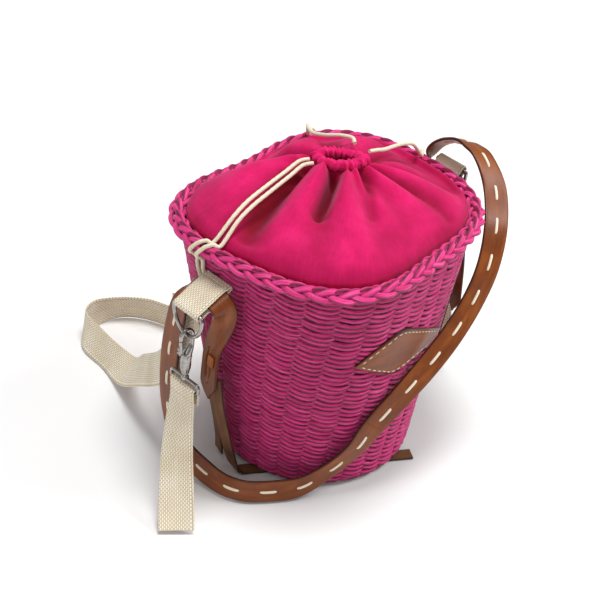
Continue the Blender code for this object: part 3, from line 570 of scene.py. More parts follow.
def set_camera():
    """A long lens from the left front, looking down, with the photograph's slight roll."""
    level = math.cos(CAMERA_ELEVATION)
    back = Vector((math.sin(CAMERA_AZIMUTH) * level, -math.cos(CAMERA_AZIMUTH) * level,
                   math.sin(CAMERA_ELEVATION)))
    right = Vector((math.cos(CAMERA_AZIMUTH), math.sin(CAMERA_AZIMUTH), 0.0))
    up = back.cross(right)
    turned_right = right * math.cos(CAMERA_ROLL) + up * math.sin(CAMERA_ROLL)
    turned_up = up * math.cos(CAMERA_ROLL) - right * math.sin(CAMERA_ROLL)
    data = bpy.data.cameras.new("camera")
    data.lens = LENS_MM
    data.sensor_width = SENSOR_MM
    data.clip_start = 0.05
    camera = linked("camera", data)
    facing = Matrix((turned_right, turned_up, back)).transposed().to_4x4()
    camera.matrix_world = Matrix.Translation(CAMERA_TARGET + back * CAMERA_DISTANCE) @ facing
    bpy.context.scene.camera = camera


def area_light(name, place, size, power):
    data = bpy.data.lights.new(name, "AREA")
    data.shape = "DISK"
    data.size = size
    data.energy = power
    lamp = linked(name, data)
    lamp.location = place
    lamp.rotation_mode = "QUATERNION"
    lamp.rotation_quaternion = (LIGHT_TARGET - Vector(place)).to_track_quat("-Z", "Y")


def set_stage():
    mesh = bpy.data.meshes.new("floor")
    signs = ((-1, -1), (1, -1), (1, 1), (-1, 1))
    corners = [(x * FLOOR_HALF, y * FLOOR_HALF, 0.0) for x, y in signs]
    mesh.from_pydata(corners, [], [(0, 1, 2, 3)])
    mesh.materials.append(FLOOR)
    floor = linked("floor", mesh)
    world = bpy.data.worlds.new("studio")
    world.use_nodes = True
    sky = world.node_tree.nodes["Background"]
    sky.inputs["Color"].default_value = (1.0, 1.0, 1.0, 1.0)
    sky.inputs["Strength"].default_value = SKY_STRENGTH
    bpy.context.scene.world = world
    area_light("top_light", (0.20, -0.20, 4.20), 1.6, 118.0)
    area_light("key_light", (1.30, -1.10, 2.00), 0.8, 24.0)
    area_light("fill_light", (-1.60, -0.50, 0.90), 1.2, 3.5)
    bpy.context.scene.view_settings.view_transform = "Standard"


# ---------------------------------------------------------------- drawstring cords

# Each strand: points over the collar from the hem, the rim's angles in degrees where it crosses,
# and (angle, z) points down the outside of the wall
CORD_ROUTES = {
    "cord_left_front": (
        [(-0.0176, 0.0110, 0.2735), (-0.0262, 0.0146, 0.2722), (-0.0400, 0.0134, 0.2680),
         (-0.0620, 0.0100, 0.2635), (-0.0860, 0.0068, 0.2576), (-0.1030, 0.0045, 0.2500)],
        (-91.5, -97.5),
        [(-98.8, 0.2150), (-99.0, 0.2060), (-98.6, 0.1960), (-98.2, 0.1875)],
    ),
    "cord_left_rear": (
        [(-0.0158, 0.0180, 0.2735), (-0.0240, 0.0215, 0.2722), (-0.0390, 0.0205, 0.2680),
         (-0.0610, 0.0172, 0.2640), (-0.0850, 0.0134, 0.2590), (-0.1022, 0.0105, 0.2516)],
        (-95.2, -101.0),
        [(-102.2, 0.2150), (-102.4, 0.2060), (-101.6, 0.1960), (-100.6, 0.1875)],
    ),
    "cord_right": (
        [(0.0350, -0.0008, 0.2735), (0.0440, -0.0014, 0.2722), (0.0560, 0.0016, 0.2678),
         (0.0744, 0.0068, 0.2630), (0.0900, 0.0102, 0.2588), (0.1050, 0.0130, 0.2520)],
        (98.0, 103.0),
        [(104.0, 0.2150), (103.8, 0.2060), (102.6, 0.1960), (101.2, 0.1875)],
    ),
    "cord_rear": (
        [(0.0346, 0.0165, 0.2735), (0.0385, 0.0240, 0.2740), (0.0350, 0.0350, 0.2725),
         (0.0310, 0.0480, 0.2680), (0.0330, 0.0650, 0.2620), (0.0440, 0.0830, 0.2560),
         (0.0560, 0.0960, 0.2485)],
        (148.0, 143.0),
        [(139.0, 0.2140), (130.0, 0.2060), (121.0, 0.1980), (112.0, 0.1925), (104.8, 0.1870)],
    ),
}
KNOT_PLACES = {"left": (-99.5, 0.1790), "right": (103.0, 0.1790)}
KNOT_RADIUS = 0.0050


CORD_CLEARANCE = CORD_RADIUS + 0.0012
RIM_CROSSING_TURNS = (118.0, 84.0, 50.0, 16.0, -18.0)  # degrees round the rim's section
BRAID_PITCH = 0.0062
CORD_SAMPLE = 0.0007


def cord_points(over, crossing, down):
    """A strand's route: over the collar, across the rim and down the wall."""
    points = [np.array(place) for place in over]
    for i, turn in enumerate(RIM_CROSSING_TURNS):
        angle = math.radians(crossing[0] + (crossing[1] - crossing[0]) * i / 4.0)
        out = (RIM_WIDTH / 2.0 + CORD_CLEARANCE) * math.cos(math.radians(turn))
        up = (RIM_HEIGHT / 2.0 + CORD_CLEARANCE) * math.sin(math.radians(turn))
        points.append(polar(mouth_radius(angle) + out, angle, RIM_MIDDLE_Z + up))
    for degrees, z in down:
        angle = math.radians(degrees)
        points.append(polar(wall_radius(z, angle) + CORD_CLEARANCE, angle, z))
    return points


def braided(reach, turn):
    """The crossing strands of a braided cord, as a share of its radius."""
    one = np.cos(3.0 * turn + 2.0 * np.pi * reach / BRAID_PITCH)
    other = np.cos(3.0 * turn - 2.0 * np.pi * reach / BRAID_PITCH)
    return 0.95 + 0.05 * np.maximum(one, other)


def make_knot(side):
    """A small overhand knot: a trefoil of the same cord, with two short free ends."""
    degrees, z = KNOT_PLACES[side]
    angle = math.radians(degrees)
    centre = polar(wall_radius(z, angle) + KNOT_RADIUS + 0.0010, angle, z)
    turn = np.linspace(0.0, 2.0 * np.pi, 91)
    size = (KNOT_RADIUS - CORD_RADIUS) / 3.0
    ring = 2.0 + np.cos(3.0 * turn)
    loop = np.stack([ring * np.cos(2.0 * turn), np.sin(3.0 * turn) * 1.2,
                     ring * np.sin(2.0 * turn)], axis=-1)
    shape = Shape()
    shape.tube(cord_track(centre + loop * size), CORD_RADIUS, 12, shape=braided, caps=False)
    for aside in (-0.0016, 0.0016):
        end = [centre + np.array((0.0, aside * spread, -drop))
               for spread, drop in ((1.0, 0.002), (1.6, 0.008), (2.6, 0.014))]
        shape.tube(cord_track(curve_through(end, 6)), CORD_RADIUS * 0.95, 12, shape=braided)
    knot = shape.made("drawstring_knot_" + side, [CORD])
    return placed(knot, "bag", "cream_cord", "cord_knot_" + side)


def make_cords():
    """The four strands and their knots; returns the strands' points."""
    knots = {side: make_knot(side) for side in KNOT_PLACES}
    lines = []
    for name, (over, crossing, down) in CORD_ROUTES.items():
        rough = curve_through(cord_points(over, crossing, down), 24)
        track = cord_track(rough)
        even = np.linspace(0.0, track.length, int(track.length / CORD_SAMPLE))
        track = cord_track(track.at(even))
        shape = Shape()
        shape.tube(track, CORD_RADIUS, 16, shape=braided)
        cord = shape.made(name + "_braided", [CORD])
        placed(cord, "bag", "cream_cord", name)
        path = [tuple(float(v) for v in place) for place in track.centres[::4]]
        last = tuple(float(v) for v in track.centres[-1])
        if path[-1] != last:
            path.append(last)
        lines.append(track.centres)
    return np.vstack(lines)


# ---------------------------------------------------------------- basket

STAKES = 28
ROWS = 44
ROW_BOTTOM = 0.0006
ROW_TOP = 0.2205
LEAN = 1.0  # radians that the stake lines turn per metre of height
ROW_PITCH = (ROW_TOP - ROW_BOTTOM) / ROWS
STRAND_DIP = 0.0025
STRAND_DEPTH = 0.0036  # how far a tucked strand lies behind the wall's face
STRAND_RISE = 0.0022
STRAND_HALF_THICKNESS = 0.0018
STRAND_SIDES = 9
FOOT_HEIGHT = 0.010  # the wall rounds in below this
LONG_TAIL_ENTRY = np.array((-0.0885, -0.0140, 0.0014))
LONG_TAIL_END = np.array((0.0430, -0.0860, 0.0014))


def lifted_over_tail(points):
    """Straw that rests on the long leather tail is pressed up over it."""
    line = (LONG_TAIL_END - LONG_TAIL_ENTRY)[:2]
    line = line / np.linalg.norm(line)
    offset = points[..., :2] - LONG_TAIL_ENTRY[:2]
    aside = np.abs(offset[..., 0] * line[1] - offset[..., 1] * line[0])
    lowest = 0.0027 * (1.0 - smooth_step(0.0068, 0.0100, aside))
    points[..., 2] = np.maximum(points[..., 2], lowest)
    return points


def wall_float(shape, row, stake, rand):
    """One run of straw between two stakes: high and tucked in, dipping, level, tucked in."""
    z = ROW_BOTTOM + ROW_PITCH * (row + 0.5)
    step = 2.0 * math.pi / STAKES
    share = np.linspace(-0.17, 1.15, 12)
    start = stake * step + LEAN * z + rand.uniform(-0.012, 0.012)
    angle = start + share * step
    knots = (-0.17, 0.0, 0.18, 0.42, 0.65, 0.88, 1.0, 1.15)
    drop = np.interp(share, knots, (1.20, 1.00, 0.40, -0.35, -0.60, -0.40, 0.00, 0.35))
    size = rand.uniform(0.93, 1.07)
    height = z + drop * STRAND_DIP * rand.uniform(0.75, 1.2) + rand.uniform(-0.0004, 0.0004)
    tuck = smooth_step(-0.20, 0.14, share) * (1.0 - smooth_step(0.80, 1.17, share))
    radius = wall_radius(height, angle) - STRAND_DEPTH + STRAND_RISE * tuck
    foot = 1.0 - smooth_step(0.0, FOOT_HEIGHT, height)
    radius = radius - 0.0045 * foot ** 1.5
    track = Track(polar(radius, angle, height), polar(1.0, angle, 0.0))
    lumps = np.array([rand.uniform(0.86, 1.14) for _ in share])
    thick = ROW_PITCH * 0.415 * size * (0.72 + 0.28 * tuck) * lumps
    dents = 1.0 + 0.10 * np.array([rand.uniform(-1.0, 1.0) for _ in range(STRAND_SIDES)])
    turn = 2.0 * np.pi * np.arange(STRAND_SIDES) / STRAND_SIDES
    aside = (thick[:, None] * np.cos(turn) * dents)[..., None] * track.across[:, None, :]
    lift = (STRAND_HALF_THICKNESS * size * np.sin(turn) * dents)[None, :, None]
    rows = track.centres[:, None, :] + aside + lift * track.face[:, None, :]
    rows = lifted_over_tail(np.maximum(rows, (-1.0, -1.0, 0.0003)))
    shift = rand.uniform(0.0, 9.0)
    around = np.arange(STRAND_SIDES + 1) * 0.0018 + shift
    # painted shade: 1 on the strand's lower side, 0 on top, darkening the straw below each run
    under = np.broadcast_to(0.5 + 0.5 * np.cos(turn), rows.shape[:2])
    shape.grid(rows, track.reach + shift, around, edge=under)


def make_weave():
    """The twined wall, row by row, in four pieces from the ground up."""
    rand = random.Random(11)
    bands = 4
    for band in range(bands):
        shape = Shape()
        for row in range(ROWS * band // bands, ROWS * (band + 1) // bands):
            for stake in range(STAKES):
                wall_float(shape, row, stake, rand)
        woven = shape.made("woven_wall_%d" % band, [STRAW])
        placed(woven, "bag", "pink_straw", *(["basket_body"] if band == 0 else []))


def make_wall_backing():
    """The inside of the weave, which shows between the runs of straw; its near-black colour is
    painted shade.
    """
    angle = np.linspace(0.0, 2.0 * np.pi, 120, endpoint=False)
    levels = ((0.0066, -0.0080), (0.0075, -0.0050), (0.030, -0.0046), (0.110, -0.0044),
              (0.2215, -0.0044), (0.2215, -0.0052), (0.110, -0.0052), (0.030, -0.0054),
              (0.0120, -0.0058), (0.0095, -0.0100))
    rows = [polar(wall_radius(z, angle) + out, angle, z) for z, out in levels]
    shape = Shape()
    along, around = np.arange(len(levels)) * 0.02, np.linspace(0.0, 0.6, 121)
    shape.grid(np.array(rows)[::-1], along, around, caps=False)
    placed(shape.made("wall_backing", [PAINTED_SHADE]), "bag", "pink_straw")


def make_bottom():
    """Coiled and stitched straw under the basket."""
    rand = random.Random(5)
    shape = Shape()
    pitch = 0.0056
    radius = 0.0790
    while radius > 0.002:
        count = max(10, int(2.0 * math.pi * radius / 0.0022))
        angle = np.linspace(0.0, 2.0 * np.pi, count + 1)
        wave = 0.00035 * np.sin(angle * max(6, int(radius * 420)) + rand.uniform(0, 6))
        track = plain_track(polar(radius + wave, angle, 0.0026 + np.abs(wave)), (0.0, 0.0, 1.0))
        turn = 2.0 * np.pi * np.arange(8) / 8
        bulge = (1.0 + 0.10 * np.cos(angle * max(5, int(radius * 380))))[:, None]
        aside = (pitch * 0.52 * np.cos(turn) * bulge)[..., None] * track.across[:, None, :]
        lift = (0.0021 * np.sin(turn) * bulge)[..., None] * track.face[:, None, :]
        rows = track.centres[:, None, :] + aside + lift
        rows[..., 2] = np.maximum(rows[..., 2], 0.0004)
        shape.grid(lifted_over_tail(rows), track.reach, np.arange(9) * 0.0018, caps=False)
        radius -= pitch
    placed(shape.made("woven_bottom", [STRAW]), "bag", "pink_straw")


def make_rim():
    """Two three-strand plaits laid round the mouth: one facing out, one facing in."""
    rand = random.Random(3)
    waves = 15
    angle = np.linspace(0.0, 2.0 * np.pi, waves * 30 + 1)

    def folded(reach, turn):
        return 1.0 + 0.07 * np.cos(3.0 * turn + 40.0 * reach) + 0.03 * np.cos(7.0 * turn)

    for name, facing, out in (("outer", 38.0, 0.0006), ("inner", 128.0, -0.0010)):
        shape = Shape()
        tilt = math.radians(facing)
        sideways = (-math.sin(tilt), math.cos(tilt))
        outward = (math.cos(tilt), math.sin(tilt))
        for strand in range(3):
            phase = waves * angle + 2.0 * np.pi * strand / 3.0
            if name == "inner":
                phase = -phase
            wobble = 0.0003 * np.sin(7.0 * angle + rand.uniform(0, 6))
            aside = 0.0037 * np.sin(phase) + wobble
            lift = 0.0016 * np.sin(2.0 * phase) + 0.0026
            radius = mouth_radius(angle) + out + aside * sideways[0] + lift * outward[0]
            height = RIM_MIDDLE_Z + 0.0002 + aside * sideways[1] + lift * outward[1]
            places = polar(radius, angle, height)
            normal = polar(outward[0], angle, 0.0) + np.array((0.0, 0.0, outward[1]))
            # The strands' sides carry painted shade (shaded=0.70).
            shape.tube(Track(places, normal), 0.0026, 12, flat=0.80, shape=folded,
                       shift=strand * 1.7, caps=False, shaded=0.70)
        plait = shape.made("rim_plait_" + name, [STRAW])
        placed(plait, "bag", "pink_straw", *(["rim_braid"] if name == "outer" else []))


# ---------------------------------------------------------------- cotton collar, hem and lining

COLLAR_INSET = 0.0066  # from the mouth line to the cloth's outer edge
LINING_INSET = 0.0072
LINING_FOOT = 0.0068
THROAT_TILT = 0.0050
THROAT_TILT_TURN = 0.785
# The dome's height at shares of the way from the rim to the hem
DOME = [(0.0, 0.2275), (0.02, 0.2340), (0.06, 0.2400), (0.12, 0.2446), (0.19, 0.2485),
        (0.28, 0.2520), (0.38, 0.2550), (0.60, 0.2603), (0.82, 0.2640), (1.0, 0.2652)]
# Folds of the cloth: the line each follows in (x, y), its height, and its width at each end
FOLDS = [
    ([(-0.0080, -0.0060), (-0.0173, -0.0136), (-0.0340, -0.0240), (-0.0502, -0.0320)],
     -0.0230, 0.0038, 0.0052),
    ([(-0.0130, 0.0020), (-0.0300, -0.0090), (-0.0560, -0.0190), (-0.0850, -0.0280)],
     0.0090, 0.0070, 0.0150),
    ([(-0.0020, -0.0130), (-0.0200, -0.0340), (-0.0400, -0.0600), (-0.0560, -0.0860)],
     0.0085, 0.0065, 0.0150),
    ([(-0.0140, 0.0220), (-0.0420, 0.0150), (-0.0741, 0.0042), (-0.1000, -0.0080)],
     -0.0150, 0.0055, 0.0090),
    ([(0.0110, -0.0160), (0.0020, -0.0340), (-0.0160, -0.0600)], -0.0075, 0.0028, 0.0040),
    ([(0.0170, -0.0150), (0.0180, -0.0400), (0.0160, -0.0720)], 0.0055, 0.0060, 0.0130),
    ([(0.0230, -0.0130), (0.0360, -0.0400), (0.0520, -0.0800)], -0.0070, 0.0034, 0.0050),
    ([(0.0280, -0.0090), (0.0500, -0.0330), (0.0740, -0.0640)], 0.0060, 0.0055, 0.0100),
    ([(0.0310, -0.0020), (0.0620, -0.0210), (0.0900, -0.0400)], -0.0070, 0.0040, 0.0070),
    ([(-0.0100, 0.0280), (-0.0400, 0.0360), (-0.0743, 0.0430)], 0.0070, 0.0080, 0.0150),
    ([(0.0010, 0.0330), (-0.0080, 0.0560), (-0.0200, 0.0820)], -0.0080, 0.0045, 0.0080),
    ([(0.0120, 0.0350), (0.0120, 0.0600), (0.0090, 0.0860)], 0.0060, 0.0055, 0.0100),
    ([(0.0210, 0.0330), (0.0330, 0.0560), (0.0420, 0.0800)], -0.0070, 0.0045, 0.0080),
    ([(0.0330, 0.0210), (0.0560, 0.0330), (0.0820, 0.0450)], 0.0060, 0.0060, 0.0110),
    ([(0.0360, 0.0090), (0.0660, 0.0080), (0.0980, 0.0040)], -0.0050, 0.0045, 0.0070),
]


def fold_height(x, y):
    """The folds' height at these points: soft-ended creases and ridges along their lines."""
    height = np.zeros_like(x)
    for line, depth, near, far in FOLDS:
        path = curve_through(np.array(line), 10)
        gaps = np.stack([(x - px) ** 2 + (y - py) ** 2 for px, py in path])
        nearest = np.argmin(gaps, axis=0)
        share = nearest / (len(path) - 1.0)
        width = near + (far - near) * share
        fade = 1.0 - 0.55 * share ** 2
        height = height + depth * fade * np.exp(-np.min(gaps, axis=0) / (2.0 * width ** 2))
    return height


# Soft swells: (degrees round, share of the way in, height, spread)
SWELLS = [(153.0, 0.60, 0.0070, 0.016), (176.0, 0.42, 0.0085, 0.015), (112.0, 0.42, 0.0075, 0.015),
          (-128.0, 0.38, 0.0045, 0.020), (-46.0, 0.16, 0.0040, 0.020), (34.0, 0.32, 0.0035, 0.020)]


def collar_points(columns, levels):
    """The cloth's folds and its points, by angle and by share of the way from rim to hem."""
    angle = np.linspace(0.0, 2.0 * np.pi, columns, endpoint=False)
    share = np.linspace(0.0, 1.0, levels) ** 0.9
    a, s = np.meshgrid(angle, share)
    foot = mouth_radius(a) - COLLAR_INSET
    radius = foot + (THROAT_RADIUS - 0.0010 - foot) * s
    profile = curve_through(np.array([(p, z, 0.0) for p, z in DOME]), 8)
    height = np.interp(s, profile[:, 0], profile[:, 1])
    points = polar(radius, a, height)
    points[..., 0] += THROAT.x * s
    points[..., 1] += THROAT.y * s
    rear = 0.5 - 0.5 * np.cos(a + math.radians(45.0))
    slack = smooth_step(0.45, 0.80, rear) * 0.0125 + 0.0030
    relief = -slack * (s / 0.22) * np.exp(1.0 - s / 0.22) * (1.0 - s) ** 0.3
    for degrees, at_share, rise, spread in SWELLS:
        turn = math.radians(degrees)
        reach = mouth_radius(turn) - COLLAR_INSET
        middle = polar(reach + (THROAT_RADIUS - reach) * at_share, turn, 0.0)
        gap = (points[..., 0] - middle[0] - THROAT.x * at_share) ** 2
        gap = gap + (points[..., 1] - middle[1] - THROAT.y * at_share) ** 2
        relief = relief + rise * np.exp(-gap / (2.0 * spread ** 2))
    inside = smooth_step(0.0, 0.10, s) * (1.0 - smooth_step(0.90, 1.0, s))
    folds = fold_height(points[..., 0], points[..., 1])
    gathers = np.cos(9.0 * a + 2.0 * np.sin(2.0 * a + 0.6) + 1.6 * s)
    folds = folds + gathers * 0.0026 * smooth_step(0.1, 0.6, s)
    puckers = np.cos(21.0 * a + 1.8 * np.sin(3.0 * a))
    folds = folds + puckers * 0.0015 * smooth_step(0.55, 0.95, s)
    creases = np.sin(70.0 * points[..., 0] + 4.0 * np.sin(48.0 * points[..., 1] + 1.0))
    folds = folds + 0.0006 * creases
    points[..., 2] += relief * inside + folds * inside
    points[..., 2] += THROAT_TILT * np.cos(a + THROAT_TILT_TURN) * smooth_step(0.35, 1.0, s)
    low = 0.2290 + 0.0120 * smooth_step(0.0, 0.4, s)
    points[..., 2] = np.maximum(points[..., 2], low)
    return folds * inside, points


def under_cords(points, cords):
    """The cloth gives way under the cords that lie on it."""
    flat = points.reshape(-1, 3)
    for place in cords[::6]:
        if place[2] < 0.2480:
            continue
        gap = (flat[:, 0] - place[0]) ** 2 + (flat[:, 1] - place[1]) ** 2
        ceiling = place[2] - 0.0021 + gap * 90.0
        near = gap < 0.007 ** 2
        flat[near, 2] = np.minimum(flat[near, 2], ceiling[near])
    return flat.reshape(points.shape)


def make_collar(cords):
    """The gathered cloth from the rim to the hem, and on down the throat."""
    columns, levels = 420, 90
    relief, points = collar_points(columns, levels)
    points = under_cords(points, cords)
    down = np.linspace(0.12, 1.0, 8)[:, None, None]
    ring = points[-1][None, :, :]
    centre = np.array((THROAT.x, THROAT.y, 0.0))
    inward = (ring - centre) * np.array((-0.55, -0.55, 0.0)) * down
    throat = ring + inward - np.array((0.0, 0.0, 0.0135)) * down
    points = np.concatenate([points, throat])
    shape = Shape()
    around = np.linspace(0.0, 2.0 * np.pi * 0.07, columns + 1)
    along = np.linspace(0.0, 0.125, len(points))
    # Painted shade and light for the collar: valleys low, ridges high; the throat gets a low value
    # so it reads darker.
    wear_and_shade_values = np.clip(0.5 + relief / 0.0150, 0.0, 1.0)
    wear_and_shade_values = np.concatenate([wear_and_shade_values, np.full((len(throat), columns), 0.15)])
    shape.grid(points, along, around, caps=False, edge=wear_and_shade_values)
    collar = shape.made("gathered_collar", [COLLAR])
    thickened(collar)
    placed(collar, "bag", "pink_cotton", "drawstring_collar")
    return collar


def make_hem():
    """The puckered channel round the throat that the drawstring runs in."""
    columns = 360
    angle = np.linspace(0.0, 2.0 * np.pi, columns + 1)
    pleat = np.cos(17.0 * angle + 2.2 * np.sin(2.0 * angle) + 1.2 * np.sin(3.0 * angle))
    small = np.cos(31.0 * angle + 1.5 * np.sin(5.0 * angle))
    radius = THROAT_RADIUS + 0.0011 * pleat + 0.0004 * small
    lean = np.cos(angle + THROAT_TILT_TURN)
    height = THROAT.z - 0.0008 + THROAT_TILT * lean
    height = height + 0.0008 * np.sin(2.0 * angle + 0.8) + 0.0006 * small
    places = polar(radius, angle, height)
    places[:, 0] += THROAT.x
    places[:, 1] += THROAT.y
    track = plain_track(places, (0.0, 0.0, 1.0))
    track.across = polar(1.0, angle, 0.0)
    track.face = np.tile((0.0, 0.0, 1.0), (columns + 1, 1))

    def puckered(reach, turn):
        folds = np.cos(1050.0 * reach + 2.0 * np.sin(160.0 * reach)) * (0.5 + 0.5 * np.cos(turn))
        return 0.84 + 0.12 * folds * np.abs(np.cos(turn)) + 0.05 * np.cos(5.0 * turn + 90.0 * reach)

    shape = Shape()
    shape.tube(track, 0.0052, 20, shape=puckered, caps=False)
    placed(shape.made("gathered_hem", [COTTON]), "bag", "pink_cotton", "drawstring_channel")


def make_lining():
    """The cotton bag inside the basket, its floor drawn together."""
    columns, levels = 180, 40
    angle = np.linspace(0.0, 2.0 * np.pi, columns, endpoint=False)
    height = np.linspace(LINING_FOOT, 0.2240, levels)
    a, z = np.meshgrid(angle, height)
    soft = 0.0006 * np.cos(13.0 * a + 30.0 * z) * smooth_step(0.01, 0.05, z)
    side = polar(wall_radius(z, a) - LINING_INSET + soft, a, z)
    share = np.linspace(0.02, 0.98, 12)[:, None]
    foot = wall_radius(LINING_FOOT, angle) - LINING_INSET
    floor = polar(foot[None, :] * share, angle[None, :], 0.0064)
    points = np.concatenate([floor, side])
    shape = Shape()
    along, around = np.linspace(0.0, 0.30, len(points)), np.linspace(0.0, 0.62, columns + 1)
    shape.grid(points, along, around, caps=False)
    lining = shape.made("cotton_lining", [LINING])
    thickened(lining)
    placed(lining, "bag", "pink_cotton", "lining_bag")
    return lining


# ---------------------------------------------------------------- leather

# The patch's edges: (arc round the wall from the front line, height)
LEAF_TOP = [(-0.0533, 0.1471), (-0.0413, 0.1592), (-0.0268, 0.1681), (-0.0120, 0.1710),
            (0.0137, 0.1587), (0.0409, 0.1440), (0.0580, 0.1340)]
LEAF_BOTTOM = [(-0.0533, 0.1471), (-0.0406, 0.1389), (-0.0250, 0.1300), (-0.0113, 0.1241),
               (0.0150, 0.1260), (0.0420, 0.1280), (0.0580, 0.1340)]


def on_wall(arc, z, lift):
    """A point on the basket's front, an arc's length along it from the front line."""
    angle = arc / wall_radius(z, 0.0)
    return polar(wall_radius(z, angle) + lift, angle, z)


NEEDLE_PITCH = 0.0066
NEEDLE_LENGTH = 0.0036
HANDLE_JOIN = (-0.0278, -0.1005, 0.0764)  # where the handle's two halves meet
STITCH_START = 0.012
STITCH_PITCH = 0.0320
STITCH_LENGTH = 0.0160
STITCH_RADIUS = 0.0013
STITCH_MARGIN = 0.001
TAB_WIDTH = 0.0200
TAB_THICKNESS = 0.0024
TAIL_WIDTH = 0.0130
TAIL_THICKNESS = 0.0020


def make_leaf():
    """The leaf-shaped patch, its edges turned down and sewn with a needle stitch."""
    steps, across = 60, 16
    low = curve_through(np.array([(a, z, 0.0) for a, z in LEAF_BOTTOM]), 12)
    high = curve_through(np.array([(a, z, 0.0) for a, z in LEAF_TOP]), 12)
    share = np.linspace(0.012, 0.985, steps)
    count = np.arange(len(low)) / (len(low) - 1.0)
    lower = np.stack([np.interp(share, count, low[:, k]) for k in (0, 1)], axis=-1)
    upper = np.stack([np.interp(share, count, high[:, k]) for k in (0, 1)], axis=-1)
    rows, edges = [], []
    for lo, hi in zip(lower, upper):
        t = np.linspace(0.0, 1.0, across + 1)[:, None]
        line = lo + (hi - lo) * t
        crown = 1.0 - np.abs(t[:, 0] * 2.0 - 1.0) ** 8
        top = on_wall(line[:, 0], line[:, 1], 0.0014 + 0.0012 * crown)
        under = on_wall(line[::-1, 0], line[::-1, 1], 0.0006)
        rows.append(np.concatenate([top, under]))
        wear_and_shade_values = np.abs(t[:, 0] * 2.0 - 1.0)
        edges.append(np.concatenate([wear_and_shade_values, np.ones(across + 1)]))
    shape = Shape()
    around = np.arange(2 * across + 3) * 0.0022
    along = np.linspace(0.0, 0.11, steps)
    shape.grid(np.array(rows)[:, ::-1], along, around, edge=np.array(edges)[:, ::-1])
    for border, inner in ((lower, upper), (upper, lower)):
        inset = border + (inner - border) * 0.0035 / np.maximum(
            np.linalg.norm(inner - border, axis=1, keepdims=True), 0.0075)
        keep = np.linalg.norm(inner - border, axis=1) > 0.008
        inset = inset[keep]
        places = on_wall(inset[:, 0], inset[:, 1], 0.0025)
        normals = polar(1.0, inset[:, 0] / BASE_RADIUS * 0.8, 0.0)
        track = Track(places, normals)
        reach = 0.001
        while reach + 0.0042 < track.reach[-1]:
            shape.stitch(track, reach, NEEDLE_LENGTH, 0.0001, 0.00038)
            reach += NEEDLE_PITCH
    placed(shape.made("leaf_patch_stitched", [LEATHER, THREAD]), "bag", "tan_leather", "leaf_patch")


LEFT_UP = (-0.454, 0.0, 0.891)
RIGHT_UP = (-0.707, 0.0, 0.707)
LEFT_TAB = [
    ((-0.1285, -0.0023, 0.0900), (-1.0, 0.0, 0.0)),
    ((-0.1285, -0.0010, 0.1020), (-1.0, 0.0, 0.0)),
    ((-0.1288, -0.0037, 0.1400), (-1.0, 0.0, 0.0)),
    ((-0.1290, -0.0135, 0.1670), (-1.0, -0.3, 0.0)),
    ((-0.1312, -0.0195, 0.1830), (-0.7, -0.9, 0.1)),
    ((-0.1340, -0.0212, 0.1915), (-0.35, -1.0, 0.5)),
    ((LEFT_SEAT[0], -0.0178, 0.1965), (-0.45, -0.4, 0.9)),
    ((LEFT_SEAT[0], -0.0110, LEFT_SEAT[1]), LEFT_UP),
    ((LEFT_SEAT[0], 0.0110, LEFT_SEAT[1]), LEFT_UP),
]
RIGHT_TAB = [
    ((0.1300, -0.0370, 0.0960), (1.0, -0.2, 0.0)),
    ((0.1300, -0.0370, 0.1080), (1.0, -0.2, 0.0)),
    ((0.1305, -0.0340, 0.1500), (1.0, -0.2, 0.0)),
    ((0.1325, -0.0285, 0.1850), (1.0, -0.4, 0.0)),
    ((0.1352, -0.0240, 0.2040), (0.6, -1.0, 0.1)),
    ((0.1358, -0.0210, 0.2140), (-0.2, -0.8, 0.8)),
    ((RIGHT_SEAT[0], -0.0164, RIGHT_SEAT[1]), RIGHT_UP),
    ((RIGHT_SEAT[0], -0.0120, RIGHT_SEAT[1]), RIGHT_UP),
    ((RIGHT_SEAT[0], 0.0120, RIGHT_SEAT[1]), RIGHT_UP),
]
